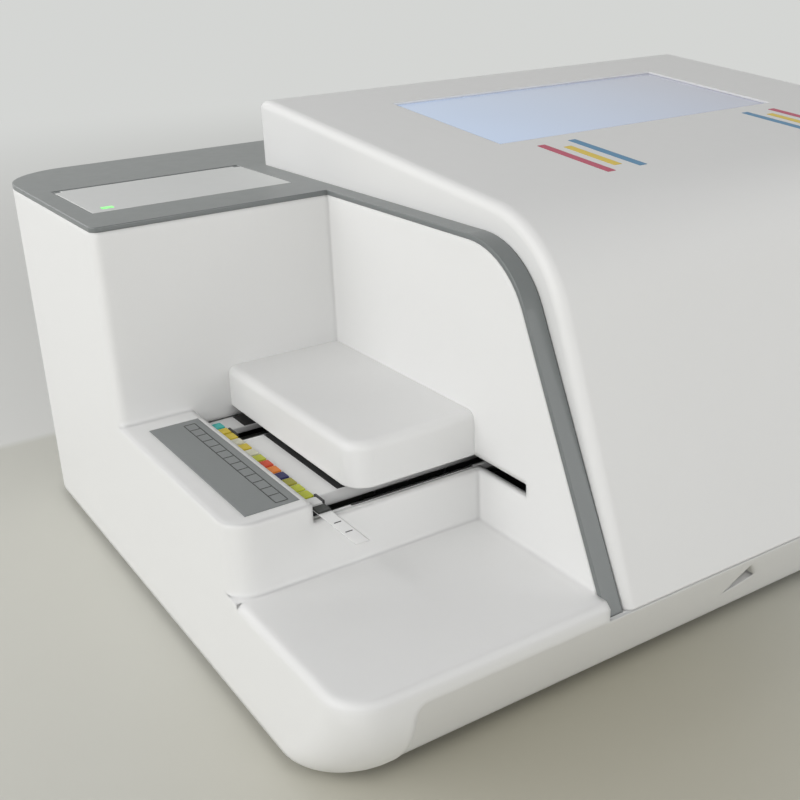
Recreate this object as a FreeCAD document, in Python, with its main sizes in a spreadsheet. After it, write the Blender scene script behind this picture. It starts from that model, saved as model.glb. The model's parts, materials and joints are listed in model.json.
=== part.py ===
import FreeCAD, Part
import math
import os
import Sketcher
from FreeCAD import Placement, Rotation, Vector
from types import SimpleNamespace

# Desktop urine analyzer. Millimetres, +Z up, +Y to the rear, origin at the bottom centre.
# A stepped white housing carries a test strip platform on the left, a printer tower behind it and
# a console with a sloping screen on the right.

DRIVING = (
    ("overall_width", 367, "left outer wall to right outer wall"),
    ("overall_depth", 311, "front lip to rear wall"),
    ("foot_height", 4, "rubber feet below the housing"),
    ("wall", 2.5, "moulded housing wall"),
    ("joint_gap", 0.3, "gap between neighbouring mouldings"),
    ("fit_gap", 0.05, "radial running clearance of shafts"),
    ("rim_rise", 36, "crease of the front rim above the housing's bottom"),
    ("tray_rise", 42.5, "front recess floor above the housing's bottom"),
    ("tray_edge", 2, "bevel of the front recess's outer edge"),
    ("deck_rise", 63, "strip deck above the housing's bottom"),
    ("platform_rise", 70, "label platform above the housing's bottom"),
    ("tower_rise", 150, "top trim surface above the housing's bottom"),
    ("undercut_depth", 22, "how far the lower front leans back at the bottom"),
    ("undercut_start", 24, "left end of the leaning facet from the left wall"),
    ("undercut_end", 5, "rounding of the facet's upper left end"),
    ("front_corner", 14, "plan radius of the front left corner at the rim"),
    ("foot_corner", 24, "plan radius of the front left corner at the housing's bottom"),
    ("rear_corner", 31, "plan radius of the rear corners"),
    ("step_corner", 10, "plan radius of the platform's front corner"),
    ("tower_corner", 3.5, "plan radius of the tower's front corner"),
    ("step_setback", 71.5, "platform front behind the front lip"),
    ("tower_setback", 173.7, "tower front behind the front lip"),
    ("platform_width", 98.7, "left wall to the console's side wall"),
    ("platform_ledge", 30.5, "width of the label platform left of the strip"),
    ("trim_thick", 2, "thickness of the gray trim"),
    ("band_width", 7, "width of the gray band beside the console"),
    ("band_foot_setback", 1.5, "lower end of the band behind the front lip"),
    ("bend_low_setback", 44, "band bend, lower end, behind the front lip"),
    ("bend_low_rise", 130.15, "band bend, lower end, above the housing's bottom"),
    ("bend_high_setback", 74.9, "band bend, upper end, behind the front lip"),
    ("bend_radius", 34, "radius of the band's bend"),
    ("cover_rear_inset", 65.5, "console's rear face ahead of the rear wall"),
    ("cover_rear_rise", 179.5, "console's rear top edge above the housing's bottom"),
    ("cover_front_rise", 160.2, "console top where the bend starts"),
    ("cover_bend_high_setback", 71.5, "cover bend, upper end, behind the front lip"),
    ("cover_bend_low_setback", 35.1, "cover bend, lower end, behind the front lip"),
    ("cover_bend_low_rise", 131.7, "cover bend, lower end, above the bottom"),
    ("cover_bend_radius", 44, "radius of the cover's bend"),
    ("cover_edge", 4, "rounding of the console cover's side edges"),
    ("screen_width", 157, "visible glass, left to right"),
    ("screen_length", 80, "visible glass, front to rear"),
    ("screen_inset", 35.3, "rear edge of the glass ahead of the cover's rear face"),
    ("screen_recess", 1, "glass below the cover's top"),
    ("glass_thick", 1.8, "touch glass"),
    ("panel_thick", 6, "display module behind the glass"),
    ("hood_inset", 47.6, "left side of the strip hood from the left wall"),
    ("hood_length", 100.2, "strip hood, front to rear"),
    ("hood_height", 17, "strip hood, bottom to top"),
    ("hood_corner", 9, "plan radius of the hood's front corner"),
    ("hood_edge", 3.5, "rounding of the hood's top edges"),
    ("hood_lift", 5, "gap below the hood"),
    ("slot_run", 28, "wall slot ahead of the platform's front"),
    ("label_inset", 8.4, "label plate from the left wall"),
    ("label_width", 20.3, "label plate, left to right"),
    ("label_length", 87.5, "label plate, front to rear"),
    ("label_front", 5.5, "label plate behind the platform's front"),
    ("label_thick", 0.6, "label plate"),
    ("table_lift", 2.5, "strip table above the strip deck"),
    ("front_rail", 4.2, "deck rail ahead of the front slot"),
    ("front_slot", 8.3, "front shuttle slot"),
    ("table_length", 59.5, "strip table, front to rear"),
    ("rear_slot", 17.5, "rear shuttle slot"),
    ("strip_length", 118, "test strip"),
    ("strip_width", 5, "test strip and pad"),
    ("strip_thick", 0.3, "plastic strip"),
    ("strip_overhang", 26, "strip handle ahead of the platform's front"),
    ("pad_pitch", 6.2, "pad to pad along the strip"),
    ("pad_length", 5.2, "pad along the strip"),
    ("pad_thick", 0.7, "reagent pad"),
    ("pad_count", 15, "pads on the strip"),
    ("shuttle_travel", 135, "travel of the strip shuttle"),
    ("shuttle_width", 18, "shuttle cross-piece, left to right"),
    ("shuttle_height", 12, "shuttle cross-piece"),
    ("guide_radius", 3, "shuttle guide rods"),
    ("guide_spacing", 48, "between the shuttle guide rods"),
    ("gear_module", 1, "module of the shuttle's rack and pinion"),
    ("pinion_teeth", 12, "teeth of the shuttle pinion"),
    ("pinion_offset", 131.9, "shuttle pinion to the right of the strip at rest"),
    ("deck_lead", 12, "deck's left end before the ledge"),
    ("deck_reach", 173, "deck's right end beyond the ledge"),
    ("slot_lead", 0.8, "left end of the shuttle's slots before the ledge"),
    ("slot_reach", 167, "right end of the shuttle's slots beyond the ledge"),
    ("motor_shaft_radius", 2.5, "shafts of the stepper motors"),
    ("motor_size", 28, "square face of the stepper motors"),
    ("motor_length", 30, "stepper motor body"),
    ("reader_width", 28, "reading head, left to right"),
    ("reader_length", 24, "reading head, front to rear"),
    ("reader_height", 30, "reading head"),
    ("reader_frame_width", 34, "reader frame, left to right"),
    ("reader_rod_spacing", 20, "reading head guide rods, middle to middle"),
    ("reader_rod_radius", 2.5, "reading head guide rods"),
    ("reader_screw_radius", 3, "reading head leadscrew"),
    ("bracket_thick", 2, "sheet metal brackets"),
    ("flange", 10, "foot of a bracket plate"),
    ("lid_width", 86.1, "printer lid, left to right"),
    ("lid_length", 55.3, "printer lid, front to rear"),
    ("lid_inset", 9.1, "printer lid from the left wall"),
    ("lid_setback", 25, "printer lid behind the tower's front"),
    ("lid_thick", 1.7, "printer lid"),
    ("hinge_barrel", 2, "radius of the lid's hinge barrel"),
    ("hinge_pin_radius", 1, "radius of the lid's hinge pin"),
    ("hinge_ear", 2.7, "width of a hinge ear"),
    ("tub_depth", 57, "printer tub below the trim"),
    ("tub_wall", 2, "printer tub wall"),
    ("roll_radius", 15, "paper roll"),
    ("roll_width", 57.5, "paper roll"),
    ("spindle_radius", 4, "paper roll spindle"),
    ("platen_radius", 5, "platen roller"),
    ("platen_length", 58, "platen roller rubber"),
    ("print_module", 0.8, "module of the printer gears"),
    ("platen_teeth", 12, "teeth of the platen gear"),
    ("idler_teeth", 14, "teeth of the printer idler gear"),
    ("print_pinion_teeth", 10, "teeth of the printer motor's gear"),
    ("lens_size", 4.6, "status light lens, left to right"),
    ("drawer_length", 188, "waste drawer, left to right"),
    ("drawer_width", 130, "waste drawer, front to rear"),
    ("drawer_height", 26, "waste drawer"),
    ("drawer_wall", 2, "waste drawer wall"),
    ("bay_wall", 1.5, "waste drawer bay"),
    ("drawer_gap", 0.4, "between the drawer and the bay's floor and sides"),
    ("drawer_head", 1.6, "between the drawer's rim and the bay's top"),
    ("board_thick", 1.6, "circuit board"),
    ("port_depth", 14, "serial and USB ports inside the rear wall"),
    ("serial_inset", 15, "serial port from the board's left end"),
    ("serial_width", 31, "serial port, left to right"),
    ("serial_height", 12.5, "serial port"),
    ("usb_inset", 62, "USB port from the board's left end"),
    ("usb_width", 13, "USB port, left to right"),
    ("usb_height", 14, "USB port"),
    ("supply_inset", 15, "power supply from the right wall's outside"),
    ("supply_width", 60, "power supply, left to right"),
    ("supply_height", 32, "power supply"),
    ("inlet_inset", 47, "power inlet from the right wall's outside"),
    ("inlet_width", 28, "power inlet, left to right"),
    ("inlet_height", 20, "power inlet and power switch"),
    ("inlet_rise", 12, "power inlet above the housing's floor"),
    ("inlet_depth", 24, "power inlet"),
    ("switch_inset", 27, "power switch from the right wall's outside"),
    ("switch_width", 13, "power switch, left to right"),
    ("scoop_width", 36, "finger scoop in the drawer's front"),
    ("drop_length", 14, "opening that drops a strip into the drawer"),
    ("foot_inset", 26, "middle of a rubber foot from the side wall's outside"),
    ("rocker_reach", 7.2, "power rocker, pivot to either end of its face"),
    ("rocker_depth", 3, "power rocker, pivot to the middle of its face"),
    ("rocker_dish", 1.4, "depth of the V in the rocker's face"),
    ("rocker_tilt", 8, "power rocker at rest, in degrees"),
    ("pivot_radius", 1, "power rocker's pivot"),
    ("foot_radius", 8, "rubber foot"),
    ("screw_radius", 1.5, "case screw shank"),
)

doc = FreeCAD.newDocument("urine_analyzer")
sheet = doc.addObject("Spreadsheet::Sheet", "Sizes")
SUBPARTS = {}


class Size:
    """A length worked out from the sheet: its value now and the expression that gives it."""

    def __init__(self, value, text):
        self.value = float(value)
        self.text = text

    def __add__(self, other):
        other = as_size(other)
        return Size(self.value + other.value, f"({self.text} + {other.text})")

    def __sub__(self, other):
        other = as_size(other)
        return Size(self.value - other.value, f"({self.text} - {other.text})")

    def __mul__(self, other):
        other = as_size(other)
        return Size(self.value * other.value, f"({self.text} * {other.text})")

    def __truediv__(self, other):
        other = as_size(other)
        return Size(self.value / other.value, f"({self.text} / {other.text})")

    def __radd__(self, other):
        return as_size(other) + self

    def __rsub__(self, other):
        return as_size(other) - self

    def __rmul__(self, other):
        return as_size(other) * self

    def __neg__(self):
        return Size(-self.value, f"(-1 * {self.text})")

    def __float__(self):
        return self.value


def as_size(number):
    return number if isinstance(number, Size) else Size(number, repr(float(number)))


def fill_sheet():
    sizes = SimpleNamespace()
    for row, (word, value, meaning) in enumerate(DRIVING, start=1):
        sheet.set(f"A{row}", word)
        sheet.set(f"B{row}", str(value))
        sheet.set(f"C{row}", meaning)
        sheet.setAlias(f"B{row}", word)
        setattr(sizes, word, Size(value, f"Sizes.{word}"))
    doc.recompute()
    return sizes


def bind(thing, prop, size):
    thing.setExpression(prop, as_size(size).text)


def keep(name, thing):
    """Gives a finished sub-part its name."""
    thing.Label = name
    SUBPARTS[name] = thing
    return thing


# ---------------------------------------------------------------- primitives and booleans

TURN_FROM_Z = {
    "x": Rotation(Vector(0, 1, 0), 90),
    "y": Rotation(Vector(1, 0, 0), -90),
    "z": Rotation(),
}


def place(thing, x, y, z):
    for axis, size in zip("xyz", (x, y, z)):
        bind(thing, f"Placement.Base.{axis}", size)
    return thing


def block(x, y, z):
    """A box between three pairs of planes."""
    made = doc.addObject("Part::Box", "block")
    for prop, (low, high) in zip(("Length", "Width", "Height"), (x, y, z)):
        bind(made, prop, high - low)
    return place(made, x[0], y[0], z[0])


def rod(axis, centre, radius, low, high):
    """A cylinder along an axis from low to high; centre gives its other two coordinates in order."""
    made = doc.addObject("Part::Cylinder", "rod")
    bind(made, "Radius", radius)
    bind(made, "Height", high - low)
    made.Placement = Placement(Vector(), TURN_FROM_Z[axis])
    where = list(centre)
    where.insert("xyz".index(axis), low)
    return place(made, *where)


def peg(axis, centre, radius, low, high):
    """A twelve-sided rod, for the many small pins, screws and their holes."""
    made = doc.addObject("Part::Prism", "peg")
    made.Polygon = 12
    bind(made, "Circumradius", radius)
    bind(made, "Height", high - low)
    made.Placement = Placement(Vector(), TURN_FROM_Z[axis])
    where = list(centre)
    where.insert("xyz".index(axis), low)
    return place(made, *where)


def tube(axis, centre, outer, inner, low, high):
    return cut(rod(axis, centre, outer, low, high), rod(axis, centre, inner, low, high))


def joined(*pieces):
    if len(pieces) == 1:
        return pieces[0]
    made = doc.addObject("Part::MultiFuse", "joined")
    made.Shapes = list(pieces)
    made.Refine = True
    return made


def cut(base, *tools):
    made = doc.addObject("Part::Cut", "cut")
    made.Base = base
    made.Tool = joined(*tools)
    return made


def edge_numbers(shape, test):
    chosen = []
    for number, edge in enumerate(shape.Edges, start=1):
        start = edge.valueAt(edge.FirstParameter)
        end = edge.valueAt(edge.LastParameter)
        centre = edge.valueAt((edge.FirstParameter + edge.LastParameter) / 2)
        if test(centre, end - start):
            chosen.append(number)
    if not chosen:
        raise RuntimeError("no edge passes the test for a fillet")
    return chosen


def near(value, size):
    return abs(value - as_size(size).value) < 0.01


# ---------------------------------------------------------------- bodies and sketches

def new_body(name):
    return doc.addObject("PartDesign::Body", name)


def draw(body, role, height, *paths):
    """A sketch of closed paths on one of the body's origin planes, moved along its normal.

    A path is a list of points (u, v). A point (u, v, radius) is reached by an arc that turns left
    for a positive radius and right for a negative one. A path (u, v, radius) alone is a circle.
    """
    plane = next(item for item in body.Origin.OriginFeatures if item.Role == role)
    sketch = body.newObject("Sketcher::SketchObject", f"sketch_{role}")
    sketch.AttachmentSupport = [(plane, "")]
    sketch.MapMode = "FlatFace"
    bind(sketch, "AttachmentOffset.Base.z", height)
    for path in paths:
        if isinstance(path, tuple):
            draw_circle(sketch, *path)
        else:
            draw_path(sketch, path)
    return sketch


def pin(sketch, geometry, point, u, v):
    for kind, size in (("DistanceX", u), ("DistanceY", v)):
        size = as_size(size)
        number = sketch.addConstraint(Sketcher.Constraint(kind, -1, 1, geometry, point, size.value))
        sketch.setExpression(f"Constraints[{number}]", size.text)


def draw_circle(sketch, u, v, radius):
    centre = Vector(as_size(u).value, as_size(v).value, 0)
    circle = Part.Circle(centre, Vector(0, 0, 1), as_size(radius).value)
    geometry = sketch.addGeometry(circle, False)
    pin(sketch, geometry, 3, u, v)
    number = sketch.addConstraint(Sketcher.Constraint("Radius", geometry, as_size(radius).value))
    sketch.setExpression(f"Constraints[{number}]", as_size(radius).text)


def arc_between(start, end, radius):
    """The shorter arc from start to end, turning left for a positive radius."""
    chord = end - start
    middle = (start + end) * 0.5
    side = Vector(-chord.y, chord.x, 0).normalize()
    rise = math.sqrt(max(radius * radius - chord.Length ** 2 / 4, 0))
    centre = middle + side * math.copysign(rise, radius)
    circle = Part.Circle(centre, Vector(0, 0, 1), abs(radius))
    first, last = (start, end) if radius > 0 else (end, start)
    return Part.ArcOfCircle(circle, circle.parameter(first), circle.parameter(last))


def draw_path(sketch, path):
    corners = [Vector(as_size(point[0]).value, as_size(point[1]).value, 0) for point in path]
    pieces = []
    for index, point in enumerate(path):
        start, end = corners[index - 1], corners[index]
        if len(point) == 2:
            pieces.append((sketch.addGeometry(Part.LineSegment(start, end), False), 1, 2))
            continue
        radius = as_size(point[2])
        geometry = sketch.addGeometry(arc_between(start, end, radius.value), False)
        number = sketch.addConstraint(Sketcher.Constraint("Radius", geometry, abs(radius.value)))
        sketch.setExpression(f"Constraints[{number}]", f"abs({radius.text})")
        pieces.append((geometry, 1, 2) if radius.value > 0 else (geometry, 2, 1))
    for index, (geometry, first, last) in enumerate(pieces):
        following, its_first, _ = pieces[(index + 1) % len(pieces)]
        sketch.addConstraint(Sketcher.Constraint("Coincident", geometry, last, following, its_first))
        pin(sketch, geometry, last, path[index][0], path[index][1])


def rectangle(u, v):
    return [(u[0], v[0]), (u[1], v[0]), (u[1], v[1]), (u[0], v[1])]


def rounded_rectangle(u, v, radius):
    return [
        (u[1] - radius, v[0]), (u[1], v[0] + radius, radius),
        (u[1], v[1] - radius), (u[1] - radius, v[1], radius),
        (u[0] + radius, v[1]), (u[0], v[1] - radius, radius),
        (u[0], v[0] + radius), (u[0] + radius, v[0], radius),
    ]


def polygon(u, v, radius, sides):
    """A regular polygon about a centre, its corners on a circle."""
    turns = [2 * math.pi * number / sides for number in range(sides)]
    return [(u + radius * math.cos(turn), v + radius * math.sin(turn)) for turn in turns]


def prism(body, role, span, *paths, hollow=False):
    """Adds, or cuts away, a prism between two planes square to the role's normal."""
    low, high = span
    height = -high if role == "XZ_Plane" else low
    sketch = draw(body, role, height, *paths)
    if hollow:
        doc.recompute()
        before = body.Shape.Volume
    feature = body.newObject("PartDesign::Pocket" if hollow else "PartDesign::Pad", "prism")
    feature.Profile = sketch
    feature.Reversed = hollow
    bind(feature, "Length", high - low)
    if hollow:
        doc.recompute()
        if not body.Shape.Volume < before:
            raise RuntimeError(f"{body.Label}: a pocket cuts nothing")
    return feature


def carve(body, role, span, *paths):
    return prism(body, role, span, *paths, hollow=True)


def loft(body, *sections):
    """Adds a smooth skin through paths of equally many sides, each at its own height."""
    sketches = [draw(body, "XY_Plane", height, path) for height, path in sections]
    feature = body.newObject("PartDesign::AdditiveLoft", "loft")
    feature.Profile = sketches[0]
    feature.Sections = sketches[1:]
    return feature


def round_body(body, radius, test):
    """Fillets the edges of a body's tip whose centre and direction pass a test."""
    doc.recompute()
    base = body.Tip
    feature = body.newObject("PartDesign::Fillet", "round_edges")
    feature.Base = (base, [f"Edge{number}" for number in edge_numbers(base.Shape, test)])
    bind(feature, "Radius", radius)
    return feature


def bevel_body(body, size, test):
    """Cuts the edges of a body's tip whose centre and direction pass a test off at 45 degrees."""
    doc.recompute()
    base = body.Tip
    feature = body.newObject("PartDesign::Chamfer", "bevel_edges")
    feature.Base = (base, [f"Edge{number}" for number in edge_numbers(base.Shape, test)])
    bind(feature, "Size", size)
    return feature


# ---------------------------------------------------------------- layout

s = fill_sheet()

left = -s.overall_width / 2
right = s.overall_width / 2
front = -s.overall_depth / 2
back = s.overall_depth / 2
inner_left = left + s.wall
inner_right = right - s.wall
inner_back = back - s.wall

base_z = s.foot_height
floor_z = base_z + s.wall
rim_z = base_z + s.rim_rise
tray_z = base_z + s.tray_rise
deck_z = base_z + s.deck_rise
table_z = deck_z + s.table_lift
platform_z = base_z + s.platform_rise
trim_z = base_z + s.tower_rise
shell_top_z = trim_z - s.trim_thick

console_x = left + s.platform_width
console_inner_x = console_x + s.wall
cover_x = (console_x + s.band_width, right - s.band_width)
cover_middle_x = (cover_x[0] + cover_x[1]) / 2
ledge_x = left + s.platform_ledge
step_y = front + s.step_setback
tower_y = front + s.tower_setback
facet_y = front + s.undercut_depth
facet_wall = s.wall * 1.2
skirt_x = left + s.undercut_start + s.undercut_end
skirt_y = facet_y + s.foot_corner + 2
foot_bevel = s.foot_corner - s.front_corner / 2

hood_x = (left + s.hood_inset, console_x)
hood_y = (tower_y - s.hood_length, tower_y)
hood_z = (deck_z + s.hood_lift, deck_z + s.hood_lift + s.hood_height)
wall_slot_y = (step_y - s.slot_run, tower_y)

band_foot = (front + s.band_foot_setback, rim_z)
bend_low = (front + s.bend_low_setback, base_z + s.bend_low_rise)
bend_high = (front + s.bend_high_setback, trim_z)
cover_rear_y = back - s.cover_rear_inset
cover_rear_z = base_z + s.cover_rear_rise
cover_bend_high = (front + s.cover_bend_high_setback, base_z + s.cover_front_rise)
cover_bend_low = (front + s.cover_bend_low_setback, base_z + s.cover_bend_low_rise)
cover_foot = (front, rim_z + s.joint_gap)
cover_slope = (cover_rear_z - cover_bend_high[1]) / (cover_rear_y - cover_bend_high[0])


def cover_top(y, below=0):
    """Height of the console's sloping top above a place, or of a plane below it."""
    return cover_rear_z - (cover_rear_y - y) * cover_slope - below


def slab_under_cover(y, below):
    """Outline of a plate parallel to the sloping top, between two depths below it."""
    return [
        (y[0], cover_top(y[0], below[1])), (y[1], cover_top(y[1], below[1])),
        (y[1], cover_top(y[1], below[0])), (y[0], cover_top(y[0], below[0])),
    ]


strip_x = (ledge_x + 1.6, ledge_x + 1.6 + s.strip_width)
strip_middle_x = (strip_x[0] + strip_x[1]) / 2
strip_y = (step_y - s.strip_overhang, step_y - s.strip_overhang + s.strip_length)
strip_z = (table_z + s.joint_gap, table_z + s.joint_gap + s.strip_thick)
front_slot_y = (step_y + s.front_rail, step_y + s.front_rail + s.front_slot)
table_y = (front_slot_y[1], front_slot_y[1] + s.table_length)
rear_slot_y = (table_y[1], table_y[1] + s.rear_slot)
deck_low_z = deck_z - s.wall
deck_x = (ledge_x - s.deck_lead, ledge_x + s.deck_reach)
deck_y = (step_y + s.wall + s.joint_gap, tower_y - s.joint_gap)
slot_x = (ledge_x - s.slot_lead, ledge_x + s.slot_reach)

shuttle_z = (deck_low_z - 2.5 - s.shuttle_height, deck_low_z - 2.5)
guide_z = (shuttle_z[0] + shuttle_z[1]) / 2
guide_middle_y = (table_y[0] + table_y[1]) / 2
guide_y = (guide_middle_y - s.guide_spacing / 2, guide_middle_y + s.guide_spacing / 2)
left_plate_x = (deck_x[0] + 1, deck_x[0] + 1 + s.bracket_thick)
right_plate_x = (slot_x[1] + 2, slot_x[1] + 2 + s.bracket_thick)
frame_y = (guide_y[0] - 12, guide_y[1] + 12)

drawer_x = (right - s.drawer_length, inner_right - s.joint_gap)
bay_x = (drawer_x[0] - 6 - s.bay_wall, inner_right - s.joint_gap)
drawer_y_middle = (strip_y[0] + strip_y[1]) / 2
drawer_y = (drawer_y_middle - s.drawer_width / 2, drawer_y_middle + s.drawer_width / 2)
drawer_z = (floor_z + s.bay_wall + s.drawer_gap, floor_z + s.bay_wall + s.drawer_gap + s.drawer_height)
bay_z = (floor_z, drawer_z[1] + s.drawer_head + s.bay_wall)
bay_y = (drawer_y[0] - s.drawer_gap - s.bay_wall, drawer_y[1] + s.drawer_gap + s.bay_wall)

pinion_radius = s.gear_module * s.pinion_teeth / 2
rack_y = (rear_slot_y[1] + 4, rear_slot_y[1] + 10)
rack_pitch_z = shuttle_z[0] + s.gear_module
pinion_x = strip_middle_x + s.pinion_offset
pinion_z = rack_pitch_z - pinion_radius

reader_x = strip_middle_x + 100
reader_z = (table_z + 4.5, table_z + 4.5 + s.reader_height)
reader_front_y = step_y - 28
reader_rear_y = tower_y + 6
reader_rod_x = (reader_x - s.reader_rod_spacing / 2, reader_x + s.reader_rod_spacing / 2)
reader_rod_z = reader_z[1] - 6
reader_screw_z = reader_z[1] - 15
reader_rest_y = (reader_rear_y - 2 - s.reader_length, reader_rear_y - 2)

lid_x = (left + s.lid_inset, left + s.lid_inset + s.lid_width)
lid_y = (tower_y + s.lid_setback, tower_y + s.lid_setback + s.lid_length)
lid_middle_x = (lid_x[0] + lid_x[1]) / 2
hinge_y = lid_y[1] - s.hinge_barrel
hinge_z = trim_z - s.hinge_barrel
tub_x = (lid_x[0] + 3, lid_x[1] - 3)
tub_y = (lid_y[0] + 2, lid_y[1] - 5)
tub_z = (trim_z - s.tub_depth, shell_top_z)
roll_y = tub_y[1] - s.tub_wall - s.roll_radius - 1.2
roll_z = tub_z[0] + s.tub_wall + s.roll_radius + 2
idler_radius = s.print_module * s.idler_teeth / 2
platen_y = tub_y[0] + s.tub_wall + idler_radius + s.print_module + 0.6
platen_z = shell_top_z - s.platen_radius - 1
platen_gear_radius = s.print_module * s.platen_teeth / 2
print_pinion_radius = s.print_module * s.print_pinion_teeth / 2
idler_z = platen_z - platen_gear_radius - idler_radius
print_motor_z = idler_z - idler_radius - print_pinion_radius
print_gear_x = (tub_x[0] + s.tub_wall + 2, tub_x[0] + s.tub_wall + 5)
print_bracket_x = (print_gear_x[1] + 1, print_gear_x[1] + 1 + s.bracket_thick)

board_z = floor_z + 8
board_x = (console_x + 5, console_x + 145)
board_y = (tower_y + 25, inner_back - 8)
board_length = board_y[1] - board_y[0]
supply_x = (right - s.supply_inset - s.supply_width, right - s.supply_inset)
supply_y = (tower_y + 22, back - s.inlet_depth - 13)
inlet_x = (right - s.inlet_inset - s.inlet_width, right - s.inlet_inset)
inlet_z = (floor_z + s.inlet_rise, floor_z + s.inlet_rise + s.inlet_height)
switch_x = (right - s.switch_inset - s.switch_width, right - s.switch_inset)
foot_x = right - s.foot_inset
foot_y = (facet_y + 18, back - 36)
screw_x = inner_right - 3
boss_radius = s.screw_radius + 2.5


# ---------------------------------------------------------------- housing

BEYOND = 1  # how far a cutting tool reaches past the skin that it cuts
SKIRT_DROPS = (1, 2 / 3, 1 / 3, 0)  # sections of the skirt, as shares of the way down from the rim


def corner(x, y, radius, to_right, to_back):
    """The sliver outside a rounded plan corner, with a little more beyond the walls."""
    out_x = x + BEYOND * to_right
    out_y = y + BEYOND * to_back
    turn = -radius if to_right == to_back else radius
    return [
        (out_x, y - radius * to_back), (out_x, out_y), (x - radius * to_right, out_y),
        (x - radius * to_right, y), (x, y - radius * to_back, turn),
    ]


def straight_corner(x, y, bevel):
    """The triangle outside a bevelled front left corner, with a little more beyond the walls."""
    return [
        (x - BEYOND, y - BEYOND), (x + bevel + BEYOND, y - BEYOND), (x - BEYOND, y + bevel + BEYOND),
    ]


def round_rear_corners(body, inset, high_z):
    """Rounds the two upright rear corners, of the housing or of its cavity."""
    x = (left + inset, right - inset)
    y = back - inset
    radius = s.rear_corner - inset
    span = (base_z - BEYOND, high_z)
    return carve(body, "XY_Plane", span, corner(x[0], y, radius, -1, 1), corner(x[1], y, radius, 1, 1))


def skirt_section(drop):
    """Height and outline of the curved front left corner, a share of the way down from the rim."""
    front_y = front + s.undercut_depth * drop * drop
    radius = s.front_corner + (s.foot_corner - s.front_corner) * drop
    return rim_z - s.rim_rise * drop, [
        (skirt_x, front_y), (skirt_x, skirt_y), (left, skirt_y),
        (left, front_y + radius), (left + radius, front_y, radius),
    ]


def on_tray_edge(centre, _run):
    """The outer edge of the front recess's floor, from the step round to the console."""
    outside = centre.x < (left + s.front_corner).value or centre.y < (front + s.front_corner).value
    return near(centre.z, tray_z) and outside and not near(centre.x, console_x)


def housing_outside():
    """The stepped left part and the console block on a skirt that leans or curves back below."""
    body = new_body("housing_outside")
    prism(body, "YZ_Plane", (left, skirt_x), [
        (skirt_y, base_z), (back, base_z), (back, rim_z), (skirt_y, rim_z),
    ])
    prism(body, "YZ_Plane", (skirt_x, right), [
        (facet_y, base_z), (back, base_z), (back, rim_z), (front, rim_z),
    ])
    loft(body, *[skirt_section(drop) for drop in SKIRT_DROPS])
    prism(body, "YZ_Plane", (left, console_x), [
        (front, rim_z), (back, rim_z), (back, shell_top_z), (tower_y, shell_top_z),
        (tower_y, platform_z), (step_y, platform_z), (step_y, tray_z), (front, tray_z),
    ])
    prism(body, "YZ_Plane", (console_x, right), [
        (front, rim_z), (back, rim_z), (back, shell_top_z), (bend_high[0], shell_top_z),
        (bend_low[0] + s.trim_thick, bend_low[1], s.bend_radius - s.trim_thick),
        (band_foot[0] + s.trim_thick, rim_z),
    ])
    carve(body, "XY_Plane", (rim_z, tray_z + BEYOND), corner(left, front, s.front_corner, -1, -1))
    bevel_body(body, s.tray_edge, on_tray_edge)
    round_rear_corners(body, 0, shell_top_z + BEYOND)
    carve(body, "XY_Plane", (tray_z, platform_z + BEYOND), corner(left, step_y, s.step_corner, -1, -1))
    tower_height = (platform_z, shell_top_z + BEYOND)
    carve(body, "XY_Plane", tower_height, corner(left, tower_y, s.tower_corner, -1, -1))
    return body


def undercut():
    """What the leaning facet removes from the skirt; its upper left end is rounded off."""
    lean = s.undercut_depth / s.rim_rise
    start_x = left + s.undercut_start
    wedge = new_body("undercut_wedge")
    prism(wedge, "YZ_Plane", (start_x, right + BEYOND), [
        (front - BEYOND, rim_z), (front - BEYOND, base_z - BEYOND),
        (facet_y + lean * BEYOND, base_z - BEYOND), (front, rim_z),
    ])
    outline = new_body("undercut_outline")
    prism(outline, "XZ_Plane", (front - BEYOND, facet_y + BEYOND), [
        (right + BEYOND, base_z - BEYOND), (right + BEYOND, rim_z), (start_x + s.undercut_end, rim_z),
        (start_x, rim_z - s.undercut_end, s.undercut_end), (start_x, base_z - BEYOND),
    ])
    made = doc.addObject("Part::Common", "undercut")
    made.Base = wedge
    made.Tool = outline
    return made


def cavity_section(z, front_y, bevel):
    """Height and outline of the hollow inside the skirt, its front left corner cut straight."""
    return z, [
        (inner_right, front_y), (inner_right, inner_back), (inner_left, inner_back),
        (inner_left, front_y + bevel), (inner_left + bevel, front_y),
    ]


def housing_cavity():
    """The hollow inside, open below, one wall behind every face of the outside."""
    body = new_body("housing_cavity")
    low_z = base_z - BEYOND
    high_z = shell_top_z + BEYOND
    lean = s.undercut_depth / s.rim_rise
    front_y = front + facet_wall
    bevel = s.front_corner - s.wall
    loft(body, cavity_section(low_z, facet_y + facet_wall + lean * BEYOND, foot_bevel),
         cavity_section(rim_z, front_y, bevel))
    rear = [(front_y, rim_z), (inner_back, rim_z), (inner_back, high_z)]
    for x, step_top_z in (
        ((inner_left, ledge_x - s.wall), platform_z - s.wall),
        ((ledge_x - s.wall, console_inner_x), deck_z + s.joint_gap),
    ):
        prism(body, "YZ_Plane", x, rear + [
            (tower_y + s.wall, high_z), (tower_y + s.wall, step_top_z), (step_y + s.wall, step_top_z),
            (step_y + s.wall, tray_z - s.wall), (front_y, tray_z - s.wall),
        ])
    prism(body, "YZ_Plane", (console_inner_x, inner_right), rear + [(front_y, high_z)])
    carve(body, "XY_Plane", (rim_z, tray_z), straight_corner(inner_left, front_y, bevel))
    round_rear_corners(body, s.wall, high_z)
    carve(body, "XY_Plane", (tray_z - s.wall, high_z),
          corner(inner_left, step_y + s.wall, s.step_corner - s.wall, -1, -1))
    return body


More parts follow.
